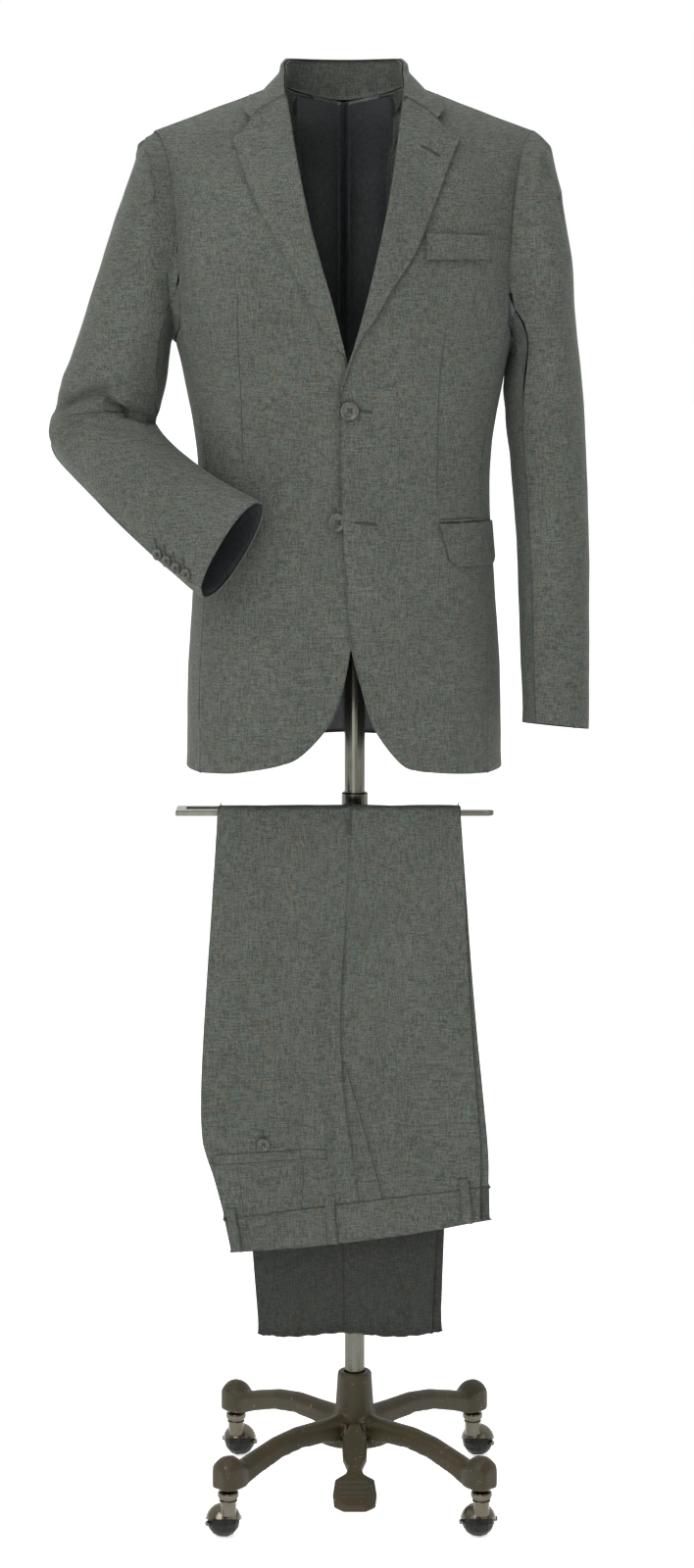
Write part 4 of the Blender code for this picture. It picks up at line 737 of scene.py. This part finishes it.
def lining_material():
    """A dark satin lining with a faint twill."""
    material, tree, shader = node_material("lining_satin", (0.02, 0.024, 0.026), 0.42)
    twill = noise(tree, (500, 500, 120), 1.0)
    rib = ramp(tree, twill, 0.35, 0.65)
    colour = mixed(tree, rib, (0.014, 0.017, 0.019), (0.03, 0.035, 0.037))
    tree.links.new(colour, shader.inputs["Base Color"])
    shader.inputs["Sheen Weight"].default_value = 0.1
    return material


def thread_material():
    """Dark twisted thread."""
    material, tree, shader = node_material("seam_thread", (0.02, 0.022, 0.019), 0.8)
    twist = noise(tree, (1500, 1500, 1500), 1.0)
    ply = ramp(tree, twist, 0.3, 0.7)
    colour = mixed(tree, ply, (0.012, 0.013, 0.011), (0.04, 0.043, 0.038))
    tree.links.new(colour, shader.inputs["Base Color"])
    return material


def horn_material():
    """Dark grey-green horn with paler cloudy streaks."""
    material, tree, shader = node_material("button_horn", (0.1, 0.11, 0.095), 0.3)
    cloud = noise(tree, (240, 240, 110), 4.0, 0.65)
    streak = ramp(tree, cloud, 0.32, 0.7)
    colour = mixed(tree, streak, (0.016, 0.017, 0.014), (0.07, 0.072, 0.061))
    tree.links.new(colour, shader.inputs["Base Color"])
    tree.links.new(ramp(tree, cloud, 0.0, 1.0, 0.22, 0.42), shader.inputs["Roughness"])
    return material


def chrome_material(name, tint, worn):
    """Plated steel with fine scratches and yellowish dull patches."""
    material, tree, shader = node_material(name, tint, 0.22, 1.0)
    patch = noise(tree, (28, 28, 16), 5.0, 0.62)
    scratch = noise(tree, (700, 700, 40), 2.0)
    dull = tuple(c * k for c, k in zip(tint, (0.66, 0.6, 0.46)))
    colour = mixed(tree, ramp(tree, patch, 0.45, 0.72), tint, dull)
    tree.links.new(colour, shader.inputs["Base Color"])
    rough = math_node(tree, "MULTIPLY_ADD", scratch, 0.25)
    rough.node.inputs[2].default_value = worn
    tree.links.new(rough, shader.inputs["Roughness"])
    bumped(tree, shader, scratch, 0.08, 0.2 * MM)
    return material


def iron_material():
    """Painted cast iron: dark brown, grainy, rubbed pale and rusty at its edges."""
    material, tree, shader = node_material("cast_iron_paint", (0.05, 0.035, 0.026), 0.5)
    shader.inputs["Specular IOR Level"].default_value = 0.32
    patch = noise(tree, (22, 22, 22), 6.0, 0.6)
    grain = noise(tree, (420, 420, 420), 3.0, 0.7)
    rust = ramp(tree, patch, 0.35, 0.66)
    colour = mixed(tree, rust, (0.018, 0.017, 0.0035), (0.031, 0.020, 0.005))
    geometry = tree.nodes.new("ShaderNodeNewGeometry")
    edge = ramp(tree, geometry.outputs["Pointiness"], 0.53, 0.6)
    chip = noise(tree, (170, 170, 170), 4.0, 0.7)
    spot = ramp(tree, chip, 0.5, 0.62)
    wear = math_node(tree, "MULTIPLY", edge, spot)
    colour = mixed(tree, wear, colour, (0.16, 0.12, 0.06))
    grit = noise(tree, (300, 300, 300), 2.0, 0.5)
    speck = ramp(tree, grit, 0.69, 0.74)
    colour = mixed(tree, speck, colour, (0.16, 0.14, 0.09))
    tree.links.new(colour, shader.inputs["Base Color"])
    tree.links.new(ramp(tree, grain, 0.0, 1.0, 0.36, 0.62), shader.inputs["Roughness"])
    bumped(tree, shader, grain, 0.35, 0.5 * MM)
    return material


def ball_material():
    """Scuffed black rubber."""
    material, tree, shader = node_material("ball_tread", (0.012, 0.013, 0.012), 0.32)
    shader.inputs["Specular IOR Level"].default_value = 0.16
    scuff = noise(tree, (160, 160, 160), 5.0, 0.7)
    rubbed = ramp(tree, scuff, 0.5, 0.75)
    colour = mixed(tree, rubbed, (0.010, 0.0105, 0.008), (0.034, 0.034, 0.026))
    tree.links.new(colour, shader.inputs["Base Color"])
    tree.links.new(ramp(tree, scuff, 0.0, 1.0, 0.2, 0.6), shader.inputs["Roughness"])
    return material


WOOL = wool_material("wool_worsted")
WOOL_INSIDE = wool_material("wool_inside", 0.7)
LINING = lining_material()
THREAD = thread_material()
HORN = horn_material()
CHROME = chrome_material("pole_chrome", (0.115, 0.115, 0.098), 0.08)
NICKEL = chrome_material("caster_nickel", (0.125, 0.116, 0.09), 0.08)
IRON = iron_material()
TREAD = ball_material()
# A darker copy of the wool: painted shade for the half of each leg behind the rail
WOOL_PAINTED_SHADE = wool_material("wool_painted_shade", 0.4)

# Materials of a piece's outer wall, inner wall and rim, and of a leg's half with painted shade
LINED = (WOOL, LINING, WOOL)
UNLINED = (WOOL, WOOL_INSIDE, WOOL)
LEG = (WOOL, WOOL_INSIDE, WOOL, WOOL_PAINTED_SHADE)
FRONT, BEHIND = (0, -1, 0), (0, 1, 0)


def dress_jacket():
    """The jacket's cloth pieces and the seams between them."""
    panels = [f"{kind}_{side}" for side in ("left", "right") for kind in ("front", "side", "back")]
    body_tree = joined_tree(panels)
    cloth_piece("collar_leaf", ("collar",), materials=UNLINED)
    for node in panels:
        cloth_piece(node, ("body",), materials=LINED, tube_tree=body_tree)
    for side in ("left", "right"):
        sleeve = (f"topsleeve_{side}", f"undersleeve_{side}")
        sleeve_tree = joined_tree(sleeve)
        for node in sleeve:
            level = 4 if node == "topsleeve_right" else 3
            cloth_piece(node, (f"sleeve_{side}",), level, materials=LINED, tube_tree=sleeve_tree)
        lapel = f"lapel_{side}"
        cloth_piece(lapel, ("body",), facing=FRONT, materials=UNLINED, drawn=("collar_leaf",))
        cloth_piece(f"flap_{side}", ("body",), facing=FRONT, materials=LINED)
    cloth_piece("collar_stand", ("collar",), materials=UNLINED)
    cloth_piece("breast_welt", ("body",), facing=FRONT, materials=UNLINED)
    for side in ("left", "right"):
        seam(f"seam_front_side_{side}", f"front_{side}", f"side_{side}")
        seam(f"seam_back_side_{side}", f"back_{side}", f"side_{side}")
        seam(f"seam_shoulder_{side}", f"front_{side}", f"back_{side}")
        seam(f"seam_sleeve_{side}", f"topsleeve_{side}", f"undersleeve_{side}")
        for kind in ("front", "back"):
            top, under, panel = f"topsleeve_{side}", f"undersleeve_{side}", f"{kind}_{side}"
            seam(f"seam_armhole_{panel}", top, panel, reach=5 * MM, radius=1.0 * MM, sink=0.7 * MM)
            seam(f"seam_underarm_{panel}", under, panel, reach=5 * MM)
        seam(f"seam_underarm_side_{side}", f"undersleeve_{side}", f"side_{side}", reach=6 * MM)
    seam("seam_back_middle", "back_left", "back_right")


def shade_drop(node):
    """The half of a leg that hangs behind the rail gets a darker copy of the wool, as painted shade."""
    low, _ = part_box("trouser_rail")
    middle = low[1] + RAIL_HALF
    for face in cloth[node]["piece"].data.polygons:
        if face.material_index != INNER and face.center.y > middle and face.center.z < low[2]:
            face.material_index = len(LEG) - 1


def overlocked_hem(node):
    """The dark overlocked stitches round the raw end of a leg."""
    made = cloth[node]
    lowest = made["points"][:, 2].min()
    near = [index for index in made["edge"] if made["points"][index][2] < lowest + HEM_BAND + 2 * HEM_SAG]
    lines = []
    for chain in chains(near, made["edges"]):
        line = []
        for index in chain:
            place = made["points"][index]
            wave = math.sin(place[0] * STITCH_WAVES[0]) + 0.6 * math.sin(place[0] * STITCH_WAVES[1] + 1)
            line.append(place + np.array((0, 0, (wave - 0.6) * 0.6 * MM)))
        lines.append(line)
    tube(f"{node}_hem", lines, 1.0 * MM, THREAD)


def dress_trousers():
    """The trousers' cloth pieces and the seams between them."""
    band_tree = joined_tree(("waistband_left", "waistband_right"))
    for side, group, facing in (("left", "trouser_near", FRONT), ("right", "trouser_far", BEHIND)):
        leg = (f"trouser_front_{side}", f"trouser_back_{side}")
        leg_tree = joined_tree(leg)
        for node in leg:
            cloth_piece(node, (group,), materials=LEG, tube_tree=leg_tree, reach=LEG_REACH)
            shade_drop(node)
            overlocked_hem(node)
        cloth_piece(f"waistband_{side}", (group,), materials=UNLINED, tube_tree=band_tree, reach=BAND_REACH)
        for place in ("back", "side", "front"):
            cloth_piece(f"belt_loop_{place}_{side}", (group,), 2, facing, 2, UNLINED)
        cloth_piece(f"back_pocket_welt_{side}", (group,), 3, facing, 0, UNLINED)
        seam(f"seam_trouser_side_{side}", f"trouser_front_{side}", f"trouser_back_{side}")
        for kind in ("front", "back"):
            seam(f"seam_waist_{kind}_{side}", f"waistband_{side}", f"trouser_{kind}_{side}")


def circle(centre, across, up, radius, count):
    """Points round a circle."""
    turns = [2 * math.pi * step / count for step in range(count)]
    return [centre + (across * math.cos(turn) + up * math.sin(turn)) * radius for turn in turns]


def button_frame(node):
    """Centre, outward axis, radius and height of a button's solid."""
    points = vertex_array(frame["nodes"][node].data)
    centre = points.mean(axis=0)
    _, _, axes = np.linalg.svd(points - centre)
    axis = axes[2]
    outward = next(look for kind, look in BUTTON_LOOKS.items() if node.startswith(kind))
    if np.dot(axis, outward) < 0:
        axis = -axis
    along = (points - centre) @ axis
    radius = np.linalg.norm(points - centre - np.outer(along, axis), axis=1).max()
    return centre + axis * along.min(), axis, radius, along.max() - along.min()


def button(node):
    """A turned button with a raised rim, a dished middle, its holes and the thread in them."""
    base, axis, radius, height = button_frame(node)
    if node.startswith("cuff"):
        axis = axis + np.array((0, 0, CUFF_TIP))
        axis /= np.linalg.norm(axis)
        radius *= CUFF_GROWTH
        base = base + axis * 0.3 * MM
    across = np.cross((0, 0, 1.0), axis)
    across /= np.linalg.norm(across)
    up = np.cross(axis, across)
    points, faces, starts = [], [], []
    for share, rise in BUTTON_PROFILE:
        starts.append(len(points))
        level = base + axis * height * rise
        points += circle(level, across, up, radius * share, BUTTON_STEPS if share else 1)
    for index in range(len(BUTTON_PROFILE) - 1):
        low, high = starts[index], starts[index + 1]
        for step in range(BUTTON_STEPS):
            after = (step + 1) % BUTTON_STEPS
            if BUTTON_PROFILE[index][0] == 0:
                faces.append((low, high + after, high + step))
            elif BUTTON_PROFILE[index + 1][0] == 0:
                faces.append((low + step, low + after, high))
            else:
                faces.append((low + step, low + after, high + after, high + step))
    mesh = bpy.data.meshes.new(node + "_turned")
    mesh.from_pydata([tuple(p) for p in points], [], faces)
    mesh.materials.append(HORN)
    mesh.shade_smooth()
    piece = placed(node + "_turned", mesh)
    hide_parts(node)
    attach(piece, BODY)
    spread, bore = radius * 0.2, radius * 0.13
    face_height = height * 0.6
    corners = [
        base + (across * x + up * y) * spread + axis * face_height
        for x, y in ((-1, -1), (1, 1), (-1, 1), (1, -1))
    ]
    rings = [circle(corner + axis * 0.02 * MM, across, up, bore * 0.5, 10) for corner in corners]
    tube(node + "_holes", rings, bore * 0.55, THREAD, cyclic=True)
    bows = [(a, (a + b) / 2 + axis * bore * 1.2, b) for a, b in (corners[:2], corners[2:])]
    tube(node + "_thread", [rounded_line(bow, 8) for bow in bows], bore * 0.8, THREAD)


def dress_buttons():
    """A turned button for every button's solid."""
    for node in sorted(frame["nodes"]):
        if "button" in node:
            button(node)


def buttonhole(name, node, start, end, side=-1, width=2.2 * MM, lift=0.5 * MM):
    """A worked buttonhole: a raised ring of stitches round a dark slit."""
    first, normal = on_cloth(node, *start, side, lift)
    last, _ = on_cloth(node, *end, side, lift)
    along = last - first
    length = np.linalg.norm(along)
    along /= length
    across = np.cross(normal, along)
    across /= np.linalg.norm(across)
    ring = []
    for step in range(20):
        turn = 2 * math.pi * step / 20
        end_shift = length if math.cos(turn) > 0 else 0.0
        round_x = math.cos(turn) * width / 2
        ring.append(first + along * (end_shift + round_x) + across * math.sin(turn) * width / 2)
    tube(name + "_stitches", [ring], 0.55 * MM, THREAD, cyclic=True)
    tube(name + "_slit", [[first, first + along * length]], 0.5 * MM, THREAD)


def dress_jacket_details():
    """Darts, buttonholes, and the jettings of the side pockets above their flaps."""
    for name, line in JACKET_DARTS.items():
        tube(f"dart_{name}", [line_on(f"front_{name}", line, lift=0.05 * MM)], 0.55 * MM, THREAD)
    for name, place in BUTTONHOLES.items():
        buttonhole(name, *place)
    for side, name in ((1, "left"), (-1, "right")):
        low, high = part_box(f"flap_{name}")
        inner_x, outer_x = (low[0], high[0]) if side == 1 else (high[0], low[0])
        front_end = outer_x - side * 0.006
        line = [(inner_x + side * 0.001, high[2] + 0.003), ((inner_x + front_end) / 2, high[2] + 0.003)]
        line.append((front_end, high[2] + 0.0025))
        front = f"front_{name}"
        tube(f"flap_jet_{name}", [line_on(front, line, lift=0.6 * MM)], 1.3 * MM, WOOL, sides=2)
        below = [(x, z - 0.002) for x, z in line]
        above = [(x, z + 0.002) for x, z in line]
        lines = [line_on(front, below, lift=0.7 * MM), line_on(front, above, lift=0.1 * MM)]
        tube(f"flap_jet_line_{name}", lines, 0.5 * MM, THREAD)


def cuff_spot(side, x, z, view):
    """The outermost point of a sleeve seen at x and z, whichever of its two pieces is nearer."""
    spots = [on_cloth(f"{kind}_{side}", x, z, view, 0.6 * MM)[0] for kind in ("topsleeve", "undersleeve")]
    straight = [spot for spot in spots if abs(spot[0] - x) + abs(spot[2] - z) < 2 * MM]
    return max(straight or spots, key=lambda spot: spot[1] * view)


def dress_cuffs():
    """A worked buttonhole runs up the sleeve from each cuff button."""
    for side, view, lean in (("right", -1, -0.003), ("left", 1, 0.001)):
        lines = []
        for count in range(1, 5):
            low, high = (np.array(corner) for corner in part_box(f"cuff_button_{side}_{count}"))
            x, _, z = (low + high) / 2
            ends = ((x, z + 0.005), (x + lean, z + 0.0185))
            lines.append([cuff_spot(side, *spot, view) for spot in rounded_line(ends, 6)])
        tube(f"cuff_holes_{side}", lines, 0.9 * MM, THREAD)


def dress_trouser_details():
    """Slant pockets, seat darts and the back pockets' buttonholes. The right leg hangs on the far side."""
    for side, name, shift in ((-1, "left", 0.0), (1, "right", FAR_LEG_SHIFT)):
        front, back = f"trouser_front_{name}", f"trouser_back_{name}"
        mouth = [(x + shift, z) for x, z in POCKET_MOUTH]
        tube(f"pocket_mouth_{name}", [line_on(front, mouth, side, 0.1 * MM)], 0.6 * MM, THREAD)
        lip = [(x + 0.0022, z) for x, z in mouth]
        tube(f"pocket_lip_{name}", [line_on(front, lip, side, -0.5 * MM)], 1.5 * MM, WOOL, sides=2)
        tack = [(x + shift, z) for x, z in POCKET_TACK]
        tube(f"pocket_tack_{name}", [line_on(front, tack, side, 0.3 * MM, 6)], 0.7 * MM, THREAD)
        darts = [[(x + shift, z) for x, z in dart] for dart in SEAT_DARTS]
        lines = [line_on(back, dart, side, -0.1 * MM) for dart in darts]
        tube(f"trouser_darts_{name}", lines, 0.45 * MM, THREAD)
        low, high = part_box(f"back_pocket_button_{name}")
        x = (low[0] + high[0]) / 2
        hole = ((x, high[2] - 0.001), (x - 0.001, high[2] + 0.010))
        tube(f"back_pocket_hole_{name}", [line_on(back, hole, side, 0.2 * MM, 6)], 0.8 * MM, THREAD)


def grown_iron(node, name, voxel, body):
    """The casting with its edges rounded off, as sand casting leaves them."""
    piece = placed(name, frame["nodes"][node].data.copy())
    remesh = piece.modifiers.new("casting", "REMESH")
    remesh.mode = "VOXEL"
    remesh.voxel_size = voxel
    graph = bpy.context.evaluated_depsgraph_get()
    shaped = bpy.data.meshes.new_from_object(piece.evaluated_get(graph))
    piece.modifiers.clear()
    points = vertex_array(shaped)
    points = evened(points, edge_array(shaped), np.ones(len(points), bool), 5)
    set_points(shaped, points)
    shaped.materials.clear()
    shaped.materials.append(IRON)
    shaped.shade_smooth()
    piece.data = shaped
    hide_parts(node)
    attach(piece, body)
    return piece, points


def dress_pedal():
    """The pedal's casting, with grooves across its tread."""
    piece, points = grown_iron("pedal", "pedal_casting", 1.0 * MM, "pedal_lever")
    share = (points[:, 1] - TREAD_FROM) / (TREAD_TO - TREAD_FROM)
    x = np.abs(points[:, 0] - PEDAL_X)
    wave = np.clip(np.cos(2 * math.pi * share * TREAD_GROOVES), 0, 1) ** 1.5
    shown = ((share > 0.02) & (share < 0.98) & (x < TREAD_HALF_WIDTH)).astype(float)
    normals = np.empty(len(points) * 3)
    piece.data.vertices.foreach_get("normal", normals)
    normals = normals.reshape(-1, 3)
    top = np.clip((normals[:, 2] - 0.3) / 0.4, 0, 1)
    depth = GROOVE_DEPTH * wave * shown * top
    points[:, 2] -= depth
    set_points(piece.data, points)


def cut_hood(place):
    """The caster's hood, cut level with its ball's middle as the camera sees it, and its axle's ends."""
    node = f"caster_{place}"
    low, high = (np.array(corner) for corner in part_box(f"ball_{place}"))
    centre, radius = (low + high) / 2, (high[2] - low[2]) / 2
    shape = welded(node)
    made = bmesh.ops.bisect_plane(
        shape,
        geom=shape.verts[:] + shape.edges[:] + shape.faces[:],
        plane_co=Vector(centre) + Vector((0, 0, HOOD_LIFT * radius)),
        plane_no=Vector((0.0, -HOOD_SLOPE, -1.0)).normalized(),
        clear_outer=True,
    )
    rim = [item for item in made["geom_cut"] if isinstance(item, bmesh.types.BMEdge)]
    bmesh.ops.triangle_fill(shape, edges=rim, use_beauty=True)
    mesh = bpy.data.meshes.new(node + "_hood")
    shape.to_mesh(mesh)
    shape.free()
    mesh.materials.clear()
    mesh.materials.append(NICKEL)
    piece = placed(node + "_hood", mesh)
    edge = piece.modifiers.new("edges", "BEVEL")
    edge.width = HOOD_BEVEL
    edge.segments = 2
    mesh.shade_smooth()
    mesh.set_sharp_from_angle(angle=math.radians(35))
    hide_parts(node)
    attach(piece, f"swivel_{place}")
    joints = {joint["name"]: joint for joint in frame["joints"]}
    roll = np.array(joints[f"ball_roll_{place}"]["axis"])
    ends = [[centre + roll * side * (radius + out) for out in (0, AXLE_PROUD)] for side in (-1, 1)]
    swivel = f"swivel_{place}"
    tube(f"axle_{place}", ends, AXLE_RADIUS, NICKEL, swivel, sides=3)
    stem = np.array(joints[f"swivel_turn_{place}"]["pos_m"])
    stem[2] = RING_HEIGHT
    ring = circle(stem, np.array((1.0, 0, 0)), np.array((0, 1.0, 0)), RING_REACH, 32)
    tube(f"grip_ring_{place}", [ring], RING_RADIUS, NICKEL, swivel, cyclic=True, sides=3)


def finish_hard_nodes():
    """Casting, pedal, pole, rail and casters."""
    grown_iron("base_casting", "base_iron", 1.8 * MM, BODY)
    dress_pedal()
    repaint("pole", CHROME)
    repaint("trouser_rail", CHROME)
    for place in ("front_left", "front_right", "back_left", "back_right"):
        cut_hood(place)
        repaint(f"ball_{place}", TREAD)


def repaint(node, material):
    """Gives a solid its material."""
    shape = frame["nodes"][node]
    for slot in shape.material_slots:
        slot.material = material
    if not shape.material_slots:
        shape.data.materials.append(material)


def stage_floor():
    """Pale paper under the stand, far out on every side."""
    floor_mesh = bpy.data.meshes.new("studio_floor")
    corners = [(x * FLOOR_REACH, y * FLOOR_REACH, 0) for x, y in ((-1, -1), (1, -1), (1, 1), (-1, 1))]
    floor_mesh.from_pydata(corners, [], [(0, 1, 2, 3)])
    material, _, shader = node_material("studio_paper", (0.93, 0.93, 0.925), 0.9)
    shader.inputs["Emission Color"].default_value = (1.0, 1.0, 1.0, 1.0)
    shader.inputs["Emission Strength"].default_value = 0.6
    floor_mesh.materials.append(material)
    floor = placed("studio_floor", floor_mesh)


def stage_lights():
    """Soft lights, all aimed at the suit's middle line."""
    for name, place, size, power, aim_height in LIGHTS:
        data = bpy.data.lights.new(name, "AREA")
        data.size = size
        data.energy = power
        lamp = placed(name, data)
        lamp.location = place
        direction = Vector((MIDDLE_X, 0, aim_height)) - Vector(place)
        lamp.rotation_euler = direction.to_track_quat("-Z", "Y").to_euler()


def stage_world():
    """Dim in front and bright behind as light, but white as a background."""
    world = bpy.data.worlds.new("studio")
    world.use_nodes = True
    tree = world.node_tree
    background = tree.nodes["Background"]
    background.inputs["Color"].default_value = (1.0, 1.0, 1.0, 1.0)
    place = tree.nodes.new("ShaderNodeTexCoord")
    split = tree.nodes.new("ShaderNodeSeparateXYZ")
    tree.links.new(place.outputs["Generated"], split.inputs["Vector"])
    light = ramp(tree, split.outputs["Y"], *WORLD_TURN, WORLD_FRONT, WORLD_BACK)
    seen = tree.nodes.new("ShaderNodeLightPath")
    strength = math_node(tree, "MAXIMUM", light, seen.outputs["Is Camera Ray"])
    tree.links.new(strength, background.inputs["Strength"])
    bpy.context.scene.world = world


def photo_camera():
    """The camera that fits the photograph, looking slightly down."""
    data = bpy.data.cameras.new("photo_camera")
    data.lens = CAMERA_LENS
    data.sensor_width = CAMERA_SENSOR
    data.sensor_fit = "AUTO"
    camera = placed("photo_camera", data)
    camera.location = CAMERA_PLACE
    camera.rotation_euler = (math.radians(90 - CAMERA_PITCH), 0, 0)
    bpy.context.scene.camera = camera
    bpy.context.scene.view_settings.view_transform = "Standard"


dress_jacket()
dress_jacket_details()
dress_trousers()
dress_trouser_details()
dress_buttons()
dress_cuffs()
finish_hard_nodes()
stage_floor()
stage_lights()
stage_world()
photo_camera()
